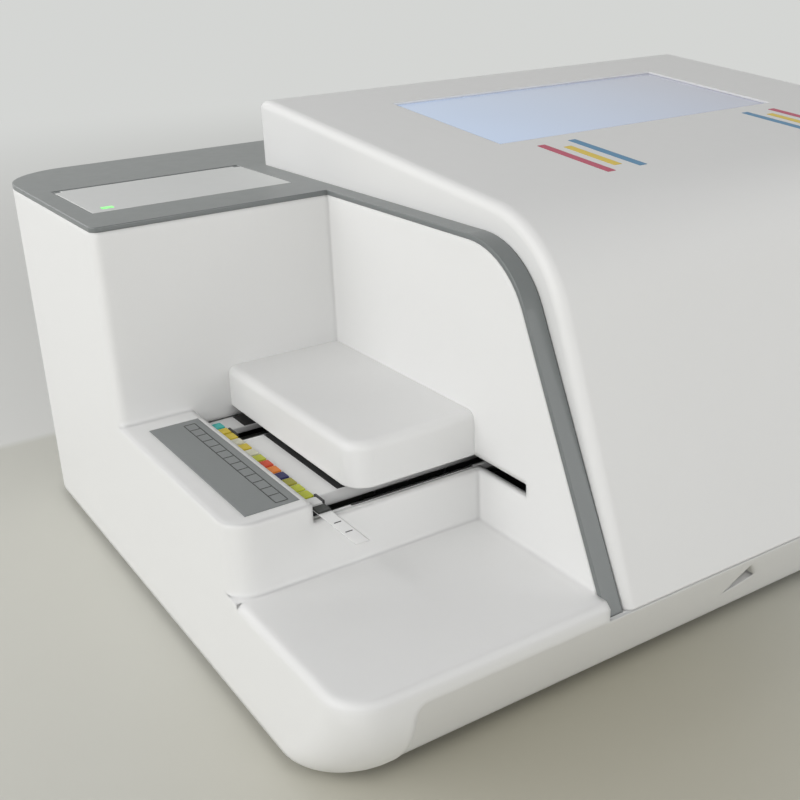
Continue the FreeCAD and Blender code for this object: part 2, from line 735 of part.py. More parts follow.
NOTCH_TRIANGLE = ((-12, 14.4), (-9.5, 29.9), (0, 20))  # right of and above the notch's own origin
notch_x = s.overall_width / 2 - 4.5 + left
notch_floor_y = facet_y + 1.5
label_x = (left + s.label_inset, left + s.label_inset + s.label_width)
label_y = (step_y + s.label_front, step_y + s.label_front + s.label_length)
label_z = (platform_z - s.label_thick + 0.1, platform_z + 0.1)
case_screw_places = [
    (-screw_x, facet_y + 33), (screw_x, bay_y[0] - boss_radius - 1),
    (-screw_x, back - 60), (screw_x, back - 60),
]
vent_places = [cover_x[0] + 20 + 6 * number for number in range(12)]


def main_housing():
    notch = new_body("finger_notch")
    prism(notch, "XZ_Plane", (front - BEYOND, notch_floor_y), [
        (notch_x + across, base_z + up) for across, up in NOTCH_TRIANGLE
    ])
    notch_backing = block(
        (notch_x - 16, notch_x + 4), (front, notch_floor_y + s.wall), (floor_z, rim_z - 2)
    )
    cavity = cut(housing_cavity(), notch_backing)
    shell = cut(
        housing_outside(),
        undercut(),
        cavity,
        notch,
        block((ledge_x, console_x), (step_y - BEYOND, tower_y), (deck_z, platform_z + BEYOND)),
        block((console_x - BEYOND, console_inner_x + BEYOND), wall_slot_y, (deck_z, hood_z[0])),
        block(label_x, label_y, (label_z[0], platform_z + BEYOND)),
        *right_wall_openings(),
        *rear_wall_openings(),
    )
    bosses = [peg("z", place_xy, boss_radius, floor_z, floor_z + 16) for place_xy in case_screw_places]
    pilots = [
        peg("z", place_xy, s.screw_radius + s.fit_gap, floor_z, floor_z + 14)
        for place_xy in case_screw_places
    ]
    return keep("main_housing", cut(joined(shell, *bosses), *pilots))


def right_wall_openings():
    gap = s.joint_gap
    return [block(
        (inner_right - BEYOND, right + BEYOND),
        (drawer_y[0] - gap, drawer_y[1] + gap),
        (drawer_z[0] - gap, drawer_z[1] + gap),
    )]


def rear_wall_openings():
    through = (inner_back - BEYOND, back + BEYOND)
    gap = s.joint_gap
    openings = [
        block((x[0] - gap, x[1] + gap), through, (z[0] - gap, z[1] + gap))
        for x, z in (
            (inlet_x, inlet_z), (switch_x, inlet_z), (serial_x, serial_z), (usb_x, usb_z),
        )
    ]
    openings += [block((x, x + 2.5), through, (trim_z - 50, trim_z - 22)) for x in vent_places]
    return openings


def base_plate():
    gap = s.joint_gap
    plate_front = facet_y + facet_wall + gap
    plate_back = inner_back - gap
    body = new_body("base_sheet")
    prism(body, "XY_Plane", (base_z, floor_z), rectangle(
        (inner_left + gap, inner_right - gap), (plate_front, plate_back)
    ))
    radius = s.rear_corner - s.wall - gap
    carve(body, "XY_Plane", (base_z - BEYOND, floor_z + BEYOND),
          straight_corner(inner_left + gap, plate_front, foot_bevel),
          corner(inner_left + gap, plate_back, radius, -1, 1),
          corner(inner_right - gap, plate_back, radius, 1, 1))
    for number in range(7):
        x = supply_x[0] + 5 + 8 * number
        carve(body, "XY_Plane", (base_z - BEYOND, floor_z + BEYOND), rectangle(
            (x, x + 3), (supply_y[0] + 15, supply_y[1] - 15)
        ))
    holes = [
        peg("z", place_xy, s.screw_radius + gap, base_z - BEYOND, floor_z + BEYOND)
        for place_xy in case_screw_places
    ]
    standoffs = [
        peg("z", (x, y), 3, floor_z, board_z)
        for x in (board_x[0] + 5, board_x[1] - 5) for y in (board_y[0] + 5, board_y[1] - 5)
    ]
    return keep("base_plate", joined(cut(body, *holes), *standoffs))


def rubber_feet():
    """Four tapered sixteen-sided pads below the base plate."""
    feet = []
    for side, y in ((side, y) for side in (-1, 1) for y in foot_y):
        body = new_body("foot")
        pad = prism(body, "XY_Plane", (0, s.foot_height), polygon(foot_x * side, y, s.foot_radius - 1, 16))
        pad.TaperAngle = 14
        feet.append(body)
    return keep("rubber_feet", joined(*feet))


def case_screws():
    screws = []
    for place_xy in case_screw_places:
        screws.append(peg("z", place_xy, s.screw_radius, base_z - 0.5, floor_z + 12))
        screws.append(peg("z", place_xy, s.screw_radius + 1.4, base_z - 1.6, base_z))
    return keep("case_screws", joined(*screws))


# ---------------------------------------------------------------- trim and console

def gray_trim():
    body = new_body("gray_trim")
    prism(body, "XY_Plane", (shell_top_z, trim_z), [
        (console_x, bend_high[0]), (right, bend_high[0]), (right, back), (left, back),
        (left, tower_y), (console_x, tower_y),
    ])
    prism(body, "YZ_Plane", (console_x, right), [
        (bend_high[0], trim_z), (bend_low[0], bend_low[1], s.bend_radius), band_foot,
        (band_foot[0] + s.trim_thick, rim_z), (bend_low[0] + s.trim_thick, bend_low[1]),
        (bend_high[0], shell_top_z, s.trim_thick - s.bend_radius),
    ])
    low_z = base_z
    high_z = trim_z + BEYOND
    carve(body, "XY_Plane", (low_z, high_z), rectangle(cover_x, (front, cover_rear_y)))
    carve(body, "XY_Plane", (shell_top_z - BEYOND, high_z),
          corner(left, back, s.rear_corner, -1, 1), corner(right, back, s.rear_corner, 1, 1),
          corner(left, tower_y, s.tower_corner, -1, -1),
          rectangle((lid_x[0] - s.joint_gap, lid_x[1] + s.joint_gap),
                    (lid_y[0] - s.joint_gap, lid_y[1] + s.joint_gap)))
    return keep("gray_trim", body)


cover_lean = (cover_bend_low[0] - front) / (cover_bend_low[1] - cover_foot[1])
screen_x = (cover_middle_x - s.screen_width / 2, cover_middle_x + s.screen_width / 2)
screen_y = (cover_rear_y - s.screen_inset - s.screen_length, cover_rear_y - s.screen_inset)
glass_margin = 2.5
glass_x = (screen_x[0] - glass_margin, screen_x[1] + glass_margin)
glass_y = (screen_y[0] - glass_margin, screen_y[1] + glass_margin)
panel_depth = (s.screen_recess + s.glass_thick, s.screen_recess + s.glass_thick + s.panel_thick)


def console_cover():
    body = new_body("console_cover")
    gap = s.joint_gap
    x = (cover_x[0] + gap, cover_x[1] - gap)
    prism(body, "YZ_Plane", x, [
        (cover_rear_y - gap, cover_rear_z), cover_bend_high,
        (cover_bend_low[0], cover_bend_low[1], s.cover_bend_radius), cover_foot,
        (band_foot[0] + s.trim_thick, cover_foot[1]), (bend_low[0] + s.trim_thick, bend_low[1]),
        (bend_high[0], shell_top_z, s.trim_thick - s.bend_radius), (cover_rear_y - gap, shell_top_z),
    ])
    round_body(body, s.cover_edge, on_cover_rim)
    inner_low = (cover_bend_low[0] + s.wall, cover_bend_low[1] - s.wall * cover_lean)
    inner_high = (cover_bend_high[0] + s.wall * cover_slope, cover_bend_high[1] - s.wall)
    open_z = rim_z - BEYOND
    carve(body, "YZ_Plane", (x[0] + s.wall, x[1] - s.wall), [
        (cover_rear_y - gap - s.wall, cover_top(cover_rear_y - s.wall, s.wall)), inner_high,
        (inner_low[0], inner_low[1], s.cover_bend_radius - s.wall),
        (inner_low[0] - cover_lean * (inner_low[1] - open_z), open_z),
        (cover_rear_y - gap - s.wall, open_z),
    ])
    through = (-5, s.wall + BEYOND)
    carve(body, "YZ_Plane", screen_x, slab_under_cover(screen_y, through))
    carve(body, "YZ_Plane", (glass_x[0] - gap, glass_x[1] + gap), slab_under_cover(
        (glass_y[0] - gap, glass_y[1] + gap), (s.screen_recess, s.wall + BEYOND)
    ))
    return keep("console_cover", body)


def on_cover_rim(centre, run):
    """The long edges of the cover's sides and its rear top edge, but none of its lower edges."""
    side = near(abs(centre.x - cover_middle_x.value), (cover_x[1] - cover_x[0]) / 2 - s.joint_gap)
    lean_y = front.value + cover_lean.value * (centre.z - cover_foot[1].value)
    on_front = abs(centre.y - lean_y) < 0.5 and abs(run.z) > 1
    on_bend = cover_bend_low[0].value < centre.y < cover_bend_high[0].value and centre.z > trim_z.value - 4
    on_top = abs(centre.z - cover_top(as_size(centre.y)).value) < 0.5
    on_rear = near(centre.y, cover_rear_y - s.joint_gap) and centre.z > trim_z.value
    return (side and (on_front or on_bend or on_top)) or (abs(run.x) > 1 and on_rear and on_top)


def slab(name, x, y, depth):
    body = new_body(name)
    prism(body, "YZ_Plane", x, slab_under_cover(y, depth))
    return body


def touch_screen():
    return keep("touch_screen", slab("touch_screen", glass_x, glass_y,
                                     (s.screen_recess, s.screen_recess + s.glass_thick)))


def display_module():
    return keep("display_module", slab("display_module", glass_x, glass_y, panel_depth))


def display_bracket():
    """A frame behind the display, with four posts up to the cover."""
    reach = 8
    x = (glass_x[0] - reach, glass_x[1] + reach)
    y = (glass_y[0] - reach, glass_y[1] + reach)
    depth = (panel_depth[1], panel_depth[1] + s.bracket_thick)
    body = slab("display_frame", x, y, depth)
    carve(body, "YZ_Plane", (x[0] + 3 * reach, x[1] - 3 * reach), slab_under_cover(
        (y[0] + 3 * reach, y[1] - 3 * reach), (depth[0] - BEYOND, depth[1] + BEYOND)
    ))
    posts = [
        (span_x, span_y)
        for span_x in ((x[0], x[0] + reach - 1), (x[1] - reach + 1, x[1]))
        for span_y in ((y[0], y[0] + reach - 1), (y[1] - reach + 1, y[1]))
    ]
    for span_x, span_y in posts:
        prism(body, "YZ_Plane", span_x, slab_under_cover(span_y, (s.wall + 0.1, depth[1])))
    return keep("display_bracket", body)


# ---------------------------------------------------------------- strip platform

def strip_hood():
    body = new_body("strip_hood")
    prism(body, "XY_Plane", hood_z, [
        (hood_x[1], hood_y[0]), (hood_x[1], hood_y[1]), (hood_x[0], hood_y[1]),
        (hood_x[0], hood_y[0] + s.hood_corner),
        (hood_x[0] + s.hood_corner, hood_y[0], s.hood_corner),
    ])
    round_body(body, s.hood_edge, on_hood_rim)
    wall = s.wall
    inner = s.hood_corner - wall
    x = (hood_x[0] + wall, hood_x[1] - wall)
    y = (hood_y[0] + wall, hood_y[1] - wall)
    carve(body, "XY_Plane", (hood_z[0] - BEYOND, hood_z[1] - wall), [
        (x[1], y[0]), (x[1], y[1]), (x[0], y[1]), (x[0], y[0] + inner), (x[0] + inner, y[0], inner),
    ])
    return keep("strip_hood", body)


def on_hood_rim(centre, _run):
    """The upper edge of the hood where it stands free of the console and the tower."""
    free = centre.x < hood_x[1].value - 1 and centre.y < hood_y[1].value - 1
    return near(centre.z, hood_z[1]) and free


def label_plate():
    return keep("label_plate", block(label_x, label_y, label_z))


drop_x = strip_x[0] + s.shuttle_travel - 8


def strip_deck():
    body = new_body("strip_deck")
    prism(body, "XY_Plane", (deck_low_z, deck_z), rectangle(deck_x, deck_y))
    table = rectangle((ledge_x + s.joint_gap, drop_x), table_y)
    prism(body, "XY_Plane", (deck_z, table_z), table)
    through = (deck_low_z - BEYOND, table_z + BEYOND)
    carve(body, "XY_Plane", through, rectangle(slot_x, front_slot_y))
    carve(body, "XY_Plane", through, rectangle(slot_x, rear_slot_y))
    carve(body, "XY_Plane", through, rectangle((drop_x, slot_x[1]), (front_slot_y[0], rear_slot_y[1])))
    return keep("strip_deck", body)


def test_strip():
    return keep("test_strip", block(strip_x, strip_y, strip_z))


def reagent_pads():
    pads = []
    for number in range(int(s.pad_count.value)):
        rear = strip_y[1] - 1 - number * s.pad_pitch
        pads.append(block(strip_x, (rear - s.pad_length, rear), (strip_z[1], strip_z[1] + s.pad_thick)))
    return keep("reagent_pads", joined(*pads))


# ---------------------------------------------------------------- strip shuttle

def transport_frame():
    """Two plates that carry the guide rods and the deck, and the drive motor's bracket."""
    left_plate = joined(
        block(left_plate_x, frame_y, (floor_z, deck_low_z)),
        block((left_plate_x[0], left_plate_x[1] + 3), frame_y, (floor_z, floor_z + s.bracket_thick)),
    )
    right_plate = joined(
        block(right_plate_x, frame_y, (shuttle_z[0], deck_low_z)),
        block(
            (right_plate_x[0], right_plate_x[1] + s.flange), frame_y,
            (deck_low_z - s.bracket_thick, deck_low_z),
        ),
    )
    motor_plate = joined(
        block(motor_plate_x, motor_plate_y, (floor_z, pinion_z + s.motor_size / 2 + 2)),
        block(
            motor_plate_x, (motor_plate_y[0], motor_plate_y[1] + s.flange),
            (floor_z, floor_z + s.bracket_thick),
        ),
    )
    bores = [
        rod("x", (y, guide_z), s.guide_radius, left_plate_x[0] - BEYOND, right_plate_x[1] + BEYOND)
        for y in guide_y
    ]
    shaft_hole = rod("y", (pinion_x, pinion_z), 5, motor_plate_y[0] - BEYOND, motor_plate_y[1] + BEYOND)
    return keep("transport_frame", cut(joined(left_plate, right_plate, motor_plate), *bores, shaft_hole))


def guide_rods():
    return keep("guide_rods", joined(*[
        rod("x", (y, guide_z), s.guide_radius, left_plate_x[0] - BEYOND, right_plate_x[1] + BEYOND)
        for y in guide_y
    ]))


motor_plate_x = (pinion_x - s.motor_size / 2, pinion_x + s.motor_size / 2)
rack_top_z = shuttle_z[1] - 4
motor_plate_y = (rack_y[1] + 1.5, rack_y[1] + 1.5 + s.bracket_thick)
shuttle_x = (strip_middle_x - s.shuttle_width / 2, strip_middle_x + s.shuttle_width / 2)
shuttle_y = (front_slot_y[0], rack_y[1])
cradle_x = (strip_x[0] - 0.8, strip_x[1] + 0.8)
arm_spans_y = (
    (front_slot_y[0] + 1, front_slot_y[1] - 1),
    (rear_slot_y[0] + 3, rear_slot_y[0] + 11),
)


def strip_shuttle():
    """The cross-piece on the guide rods, with two arms whose notches cradle the strip."""
    body = new_body("shuttle_beam")
    prism(body, "XZ_Plane", shuttle_y, rectangle(shuttle_x, shuttle_z))
    bore = s.guide_radius + s.fit_gap
    for pocket_y in ((guide_y[0] + 8, guide_y[1] - 8), (guide_y[1] + 8, rear_slot_y[1] - 2)):
        carve(body, "XY_Plane", (shuttle_z[0] - BEYOND, shuttle_z[1] - 3),
              rectangle((shuttle_x[0] + 3, shuttle_x[1] - 3), pocket_y))
    carve(body, "YZ_Plane", (shuttle_x[0] - BEYOND, shuttle_x[1] + BEYOND),
          (guide_y[0], guide_z, bore), (guide_y[1], guide_z, bore))
    carve(body, "XZ_Plane", (rack_y[0], rack_y[1] + BEYOND), rectangle(
        (shuttle_x[0] - BEYOND, shuttle_x[1] + BEYOND), (shuttle_z[0] - BEYOND, rack_top_z)
    ))
    for arm_y in arm_spans_y:
        prism(body, "XZ_Plane", arm_y, [
            (cradle_x[0], shuttle_z[1]), (cradle_x[1], shuttle_z[1]),
            (cradle_x[1], strip_z[1] + 1), (strip_x[1], strip_z[1] + 1), (strip_x[1], strip_z[0]),
            (strip_x[0], strip_z[0]), (strip_x[0], strip_z[1] + 1), (cradle_x[0], strip_z[1] + 1),
        ])
    return keep("strip_shuttle", body)


def tooth_flank(pitch_radius, module, backlash):
    """Half-angles of a 20 degree involute tooth at five radii from root to tip."""
    pressure = math.radians(20)
    base_radius = pitch_radius * math.cos(pressure)
    half_at_pitch = (math.pi * module / 2 - backlash) / 2 / pitch_radius
    involute_at_pitch = math.tan(pressure) - pressure
    root = pitch_radius - 1.2 * module
    tip = pitch_radius + 0.95 * module
    flank = []
    steps = 4
    for step in range(steps + 1):
        radius = root + (tip - root) * step / steps
        roll = math.acos(base_radius / radius) if radius > base_radius else 0
        involute = math.tan(roll) - roll
        flank.append((radius, half_at_pitch + involute_at_pitch - involute))
    return flank


def gear_blank(teeth, pitch_radius, module, backlash, turn):
    """The face of a spur gear about the X-Y origin, one tooth at the angle given."""
    flank = tooth_flank(pitch_radius, module, backlash)
    points = []
    for number in range(teeth):
        middle = turn + 2 * math.pi * number / teeth
        for side, profile in ((-1, flank), (1, reversed(flank))):
            for radius, half in profile:
                angle = middle + side * half
                points.append(Vector(radius * math.cos(angle), radius * math.sin(angle), 0))
    return Part.Face(Part.makePolygon(points + points[:1]))


def spur_gear(name, teeth, module, turn, axis, centre, span, backlash=0.25):
    """A gear along an axis, its place read from the sheet; one tooth points turn degrees round."""
    pitch_radius = module.value * teeth.value / 2
    face = gear_blank(int(teeth.value), pitch_radius, module.value, backlash, math.radians(turn))
    made = doc.addObject("Part::Feature", name)
    made.Shape = face.extrude(Vector(0, 0, (span[1] - span[0]).value))
    made.Placement = Placement(Vector(), TURN_FROM_Z[axis])
    where = list(centre)
    where.insert("xyz".index(axis), span[0])
    return place(made, *where)


def drive_pinion():
    gear = spur_gear("pinion_teeth", s.pinion_teeth, s.gear_module, PINION_TURN, "y",
                     (pinion_x, pinion_z), rack_y)
    hub = rod("y", (pinion_x, pinion_z), 4, rack_y[0] - 3, rack_y[0])
    shaft_end = motor_plate_y[1] + s.flange
    shaft = rod("y", (pinion_x, pinion_z), s.motor_shaft_radius, rack_y[0], shaft_end)
    return keep("drive_pinion", joined(gear, hub, shaft))


PINION_TURN = -90  # one tooth points straight up, into a space of the rack


def shuttle_rack():
    """A straight rack let into the beam's end; a tooth space lies right above the pinion at rest."""
    body = new_body("shuttle_rack")
    module = s.gear_module
    pitch = module * math.pi
    root_z = rack_pitch_z + module * 1.2
    x = (shuttle_x[0], pinion_x + 2 * pinion_radius)
    prism(body, "XZ_Plane", rack_y, rectangle(x, (root_z, rack_top_z)))
    spaces = math.floor((x[1] - pinion_x).value / pitch.value - 0.5)
    first = pinion_x - pitch * (math.floor((pinion_x - x[0]).value / pitch.value - 0.5) - 0.5)
    count = spaces + math.floor((pinion_x - x[0]).value / pitch.value - 0.5)
    half_pitch_line = module * (math.pi / 4) - 0.06
    slope = math.tan(math.radians(20))
    tip = half_pitch_line - module * 0.95 * slope
    root = half_pitch_line + module * 1.2 * slope
    tip_z = rack_pitch_z - module * 0.95
    tooth = prism(body, "XZ_Plane", rack_y, [
        (first - tip, tip_z), (first + tip, tip_z), (first + root, root_z), (first - root, root_z),
    ])
    doc.recompute()
    row = body.newObject("PartDesign::LinearPattern", "tooth_row")
    row.Originals = [tooth]
    row.Direction = (next(f for f in body.Origin.OriginFeatures if f.Role == "X_Axis"), [""])
    bind(row, "Length", pitch * (count - 1))
    row.Occurrences = count
    body.Tip = row
    return keep("shuttle_rack", body)


def stepper_motor(name, axis, centre, face, size, length):
    """A square stepper body with chamfered corners, its boss and its shaft hole."""
    half = size / 2
    bevel = size * 0.12
    body = new_body(name)
    role, (u, v) = {"y": ("XZ_Plane", centre), "x": ("YZ_Plane", centre)}[axis]
    prism(body, role, (face, face + length), [
        (u - half + bevel, v - half), (u + half - bevel, v - half), (u + half, v - half + bevel),
        (u + half, v + half - bevel), (u + half - bevel, v + half), (u - half + bevel, v + half),
        (u - half, v + half - bevel), (u - half, v - half + bevel),
    ])
    carve(body, role, (face - BEYOND, face + 11), (u, v, s.motor_shaft_radius + s.fit_gap + 0.25))
    return keep(name, body)


def drive_motor():
    return stepper_motor("drive_motor", "y", (pinion_x, pinion_z), motor_plate_y[1],
                         s.motor_size, s.motor_length)


# ---------------------------------------------------------------- reading head

def reader_frame():
    """Front and rear plates that carry the reading head's rods and leadscrew."""
    x = (reader_x - s.reader_frame_width / 2, reader_x + s.reader_frame_width / 2)
    leg_x = (x[0], reader_x + 1)
    split_z = deck_z + 5
    plates = []
    for y in (reader_front_y, reader_rear_y):
        plate = joined(
            block(leg_x, (y, y + s.bracket_thick), (floor_z, split_z)),
            block(x, (y, y + s.bracket_thick), (split_z, reader_z[1] + 3)),
            block(leg_x, (y, y + 8), (floor_z, floor_z + s.bracket_thick)),
        )
        plates.append(plate)
    low_y = reader_front_y - BEYOND
    high_y = reader_rear_y + s.bracket_thick + BEYOND
    bores = [rod("y", (rod_x, reader_rod_z), s.reader_rod_radius, low_y, high_y) for rod_x in reader_rod_x]
    screw_bore = rod("y", (reader_x, reader_screw_z), s.reader_screw_radius + s.fit_gap, low_y, high_y)
    return keep("reader_frame", cut(joined(*plates), *bores, screw_bore))


def reader_rods():
    span_y = (reader_front_y - 1, reader_rear_y + s.bracket_thick)
    return keep("reader_rods", joined(*[
        rod("y", (x, reader_rod_z), s.reader_rod_radius, *span_y) for x in reader_rod_x
    ]))


def reader_screw():
    """A plain shaft for the leadscrew's crests, with a thrust collar behind the front plate."""
    collar_y = (reader_front_y + s.bracket_thick + s.joint_gap, reader_front_y + s.bracket_thick + 1.3)
    shaft = rod("y", (reader_x, reader_screw_z), s.reader_screw_radius,
                reader_front_y - 2, reader_rear_y + s.bracket_thick)
    end = rod("y", (reader_x, reader_screw_z), 2.5, reader_rear_y + s.bracket_thick,
              reader_rear_y + s.bracket_thick + 10)
    return keep("reader_screw", joined(
        shaft, end, rod("y", (reader_x, reader_screw_z), 5, *collar_y)
    ))


def reader_motor():
    return stepper_motor("reader_motor", "y", (reader_x, reader_screw_z),
                         reader_rear_y + s.bracket_thick, s.motor_size, s.motor_length)


def reading_head():
    """The optics block: a moulded housing with two rod bushes, the nut and a stepped lens bore."""
    x = (reader_x - s.reader_width / 2, reader_x + s.reader_width / 2)
    body = new_body("reading_head")
    prism(body, "XZ_Plane", reader_rest_y, [
        (x[0] + 4, reader_z[0]), (x[1] - 4, reader_z[0]), (x[1], reader_z[0] + 8), (x[1], reader_z[1]),
        (x[0], reader_z[1]), (x[0], reader_z[0] + 8),
    ])
    rod_bore = s.reader_rod_radius + s.fit_gap
    carve(body, "XZ_Plane", (reader_rest_y[0] - BEYOND, reader_rest_y[1] + BEYOND),
          (reader_rod_x[0], reader_rod_z, rod_bore), (reader_rod_x[1], reader_rod_z, rod_bore),
          (reader_x, reader_screw_z, s.reader_screw_radius + s.fit_gap))
    lens_z = (reader_z[0] - BEYOND, reader_z[0] + lens_depth)
    carve(body, "XY_Plane", lens_z, (reader_x, lens_y, lens_radius))
    seats = [
        peg("z", place_xy, led_radius, reader_z[0] - BEYOND, reader_z[0] + 2.5) for place_xy in led_places
    ]
    return keep("reading_head", cut(body, *seats))


lens_y = (reader_rest_y[0] + reader_rest_y[1]) / 2
lens_radius = as_size(3.5)
lens_depth = as_size(4)
led_out = as_size(5)
led_radius = as_size(1.25)
led_places = [
    (reader_x + led_out * side, lens_y + led_out * fore) for side in (-1, 1) for fore in (-1, 1)
]


def reader_lens():
    return keep("reader_lens", rod("z", (reader_x, lens_y), lens_radius, reader_z[0] + 0.8,
                                   reader_z[0] + lens_depth))


def reader_leds():
    return keep("reader_leds", joined(*[
        peg("z", place_xy, led_radius, reader_z[0] - 0.4, reader_z[0] + 2.5) for place_xy in led_places
    ]))


# ---------------------------------------------------------------- printer

def printer_tub():
    body = new_body("printer_tub")
    wall = s.tub_wall
    gap = s.joint_gap
    flange_x = (lid_x[0] - 3.5, lid_x[1] + 2)
    flange_y = (lid_y[0] - 4, lid_y[1] + 4)
    flange_z = (shell_top_z - wall, shell_top_z)
    barrel_y = (hinge_y - s.hinge_barrel - gap, lid_y[1] + gap)
    ears_x = ((lid_x[0], lid_x[0] + s.hinge_ear), (lid_x[1] - s.hinge_ear, lid_x[1]))
    prism(body, "XY_Plane", (tub_z[0], flange_z[1]), rectangle(tub_x, tub_y))
    prism(body, "XY_Plane", flange_z, rectangle(flange_x, flange_y))
    carve(body, "XY_Plane", (tub_z[0] + wall, flange_z[1] + BEYOND), rectangle(
        (tub_x[0] + wall, tub_x[1] - wall), (tub_y[0] + wall, tub_y[1] - wall)
    ))
    carve(body, "XY_Plane", (flange_z[0] - BEYOND, flange_z[1] + BEYOND), rectangle(
        (ears_x[0][1], ears_x[1][0]), barrel_y
    ))
    for ear_x in ears_x:
        prism(body, "YZ_Plane", ear_x, [
            (hinge_y - s.hinge_barrel, flange_z[0]), (lid_y[1], flange_z[0]), (lid_y[1], hinge_z),
            (hinge_y, trim_z, s.hinge_barrel), (hinge_y - s.hinge_barrel, hinge_z, s.hinge_barrel),
        ])
    for cheek_x in ((tub_x[0] + wall, tub_x[0] + wall + 4), (tub_x[1] - wall - 4, tub_x[1] - wall)):
        slot = s.spindle_radius + gap
        prism(body, "YZ_Plane", cheek_x, [
            (roll_y - 8, tub_z[0] + wall), (roll_y + 8, tub_z[0] + wall), (roll_y + 8, roll_z + 4),
            (roll_y + slot, roll_z + 4), (roll_y + slot, roll_z), (roll_y - slot, roll_z, -slot),
            (roll_y - slot, roll_z + 4), (roll_y - 8, roll_z + 4),
        ])
    pin_bore = s.hinge_pin_radius
    carve(body, "YZ_Plane", (lid_x[0] - BEYOND, lid_x[1] + BEYOND), (hinge_y, hinge_z, pin_bore))
    return keep("printer_tub", body)


def lid_hinge_pin():
    return keep("lid_hinge_pin", rod("x", (hinge_y, hinge_z), s.hinge_pin_radius,
                                     lid_x[0] + 0.2, lid_x[1] - 0.2))


lens_x = (lid_x[0] + 5.7, lid_x[0] + 5.7 + s.lens_size)
light_y = (lid_y[0] + 5.3, lid_y[0] + 8.3)


def printer_lid():
    """A thin plate whose rear edge is a barrel on the hinge pin, with a stiffening rib below."""
    body = new_body("printer_lid")
    gap = s.joint_gap
    low_z = trim_z - s.lid_thick
    barrel = s.hinge_barrel
    ear = s.hinge_ear + gap
    x = (lid_x[0] + ear, lid_x[1] - ear)
    plate_rear_y = hinge_y - barrel - gap
    prism(body, "XY_Plane", (low_z, trim_z), rectangle(lid_x, (lid_y[0], plate_rear_y)))
    prism(body, "YZ_Plane", x, [
        (plate_rear_y, low_z), (hinge_y - barrel, low_z), (hinge_y - barrel, hinge_z),
        (hinge_y, hinge_z - barrel, barrel), (hinge_y + barrel, hinge_z, barrel),
        (hinge_y, trim_z, barrel), (plate_rear_y, trim_z),
    ])
    carve(body, "YZ_Plane", (lid_x[0] - BEYOND, lid_x[1] + BEYOND),
          (hinge_y, hinge_z, s.hinge_pin_radius + s.fit_gap))
    carve(body, "XY_Plane", (low_z - BEYOND, trim_z + BEYOND), rectangle(lens_x, light_y))
    return keep("printer_lid", body)


def status_light():
    return keep("status_light", block(lens_x, light_y, (trim_z - s.lid_thick, trim_z + 0.1)))


def paper_roll():
    span = (lid_middle_x - s.roll_width / 2, lid_middle_x + s.roll_width / 2)
    return keep("paper_roll", tube("x", (roll_y, roll_z), s.roll_radius,
                                   s.spindle_radius + s.fit_gap, *span))


def roll_spindle():
    inside = (tub_x[0] + s.tub_wall, tub_x[1] - s.tub_wall)
    shaft = rod("x", (roll_y, roll_z), s.spindle_radius, inside[0] + 0.3, inside[1] - 0.3)
    return keep("roll_spindle", shaft)


def print_head():
    """The heating bar on its heat sink, between two side plates that carry roller and gears."""
    side_y = (tub_y[0] + s.tub_wall, platen_y + 8)
    side_z = (tub_z[0] + s.tub_wall, shell_top_z - 2.5)
    far_bracket_x = (
        lid_middle_x + s.platen_length / 2 + 0.5,
        lid_middle_x + s.platen_length / 2 + 0.5 + s.bracket_thick,
    )
    bar = block((print_bracket_x[0], far_bracket_x[1]), (platen_y - 4, platen_y + 5),
                (platen_z - s.platen_radius - 3.2, platen_z - s.platen_radius - 0.2))
    sides = [block(x, side_y, side_z) for x in (print_bracket_x, far_bracket_x)]
    bores = rod("x", (platen_y, platen_z), platen_shaft + s.fit_gap,
                print_bracket_x[0] - BEYOND, far_bracket_x[1] + BEYOND)
    small = [
        rod("x", (platen_y, z), idler_stud + s.fit_gap, print_bracket_x[0] - BEYOND,
            print_bracket_x[1] + BEYOND)
        for z in (idler_z, print_motor_z)
    ]
    return keep("print_head", cut(joined(bar, *sides), bores, *small))


platen_shaft = as_size(2)
idler_stud = as_size(1.5)


def platen_roller():
    half = s.platen_length / 2
    rubber = rod("x", (platen_y, platen_z), s.platen_radius, lid_middle_x - half, lid_middle_x + half)
    shaft = rod("x", (platen_y, platen_z), platen_shaft, print_gear_x[0], lid_middle_x + half + 3)
    return keep("platen_roller", joined(rubber, shaft))


DOWN = 0  # where a gear tooth points, in degrees about the printer's gear axes


def meshing_turn(turn, teeth, direction, own_teeth):
    """The turn of a gear that meshes with another in the given direction from it."""
    phase = (direction - turn) * teeth.value / 360
    return direction + 180 - (0.5 - phase) * 360 / own_teeth.value


idler_turn = meshing_turn(DOWN, s.platen_teeth, DOWN, s.idler_teeth)
motor_gear_turn = meshing_turn(idler_turn, s.idler_teeth, DOWN, s.print_pinion_teeth)


def platen_gear():
    gear = spur_gear("platen_teeth", s.platen_teeth, s.print_module, DOWN, "x",
                     (platen_y, platen_z), print_gear_x, 0.15)
    return keep("platen_gear", cut(gear, rod("x", (platen_y, platen_z), platen_shaft, *print_gear_x)))


def printer_idler():
    """Meshes with the platen gear above and the motor gear below, on its own stud."""
    gear = spur_gear("idler_teeth", s.idler_teeth, s.print_module, idler_turn, "x",
                     (platen_y, idler_z), print_gear_x, 0.15)
    stud = rod("x", (platen_y, idler_z), idler_stud, print_gear_x[0], print_bracket_x[1])
    return keep("printer_idler", joined(gear, stud))


def printer_motor_gear():
    gear = spur_gear("motor_gear_teeth", s.print_pinion_teeth, s.print_module, motor_gear_turn, "x",
                     (platen_y, print_motor_z), print_gear_x, 0.15)
    stud = rod("x", (platen_y, print_motor_z), idler_stud, print_gear_x[0], print_bracket_x[1] + 6)
    return keep("printer_motor_gear", joined(gear, stud))


def printer_motor():
    return keep("printer_motor", tube("x", (platen_y, print_motor_z), 5, idler_stud + 0.3,
                                      print_bracket_x[1], print_bracket_x[1] + 20))


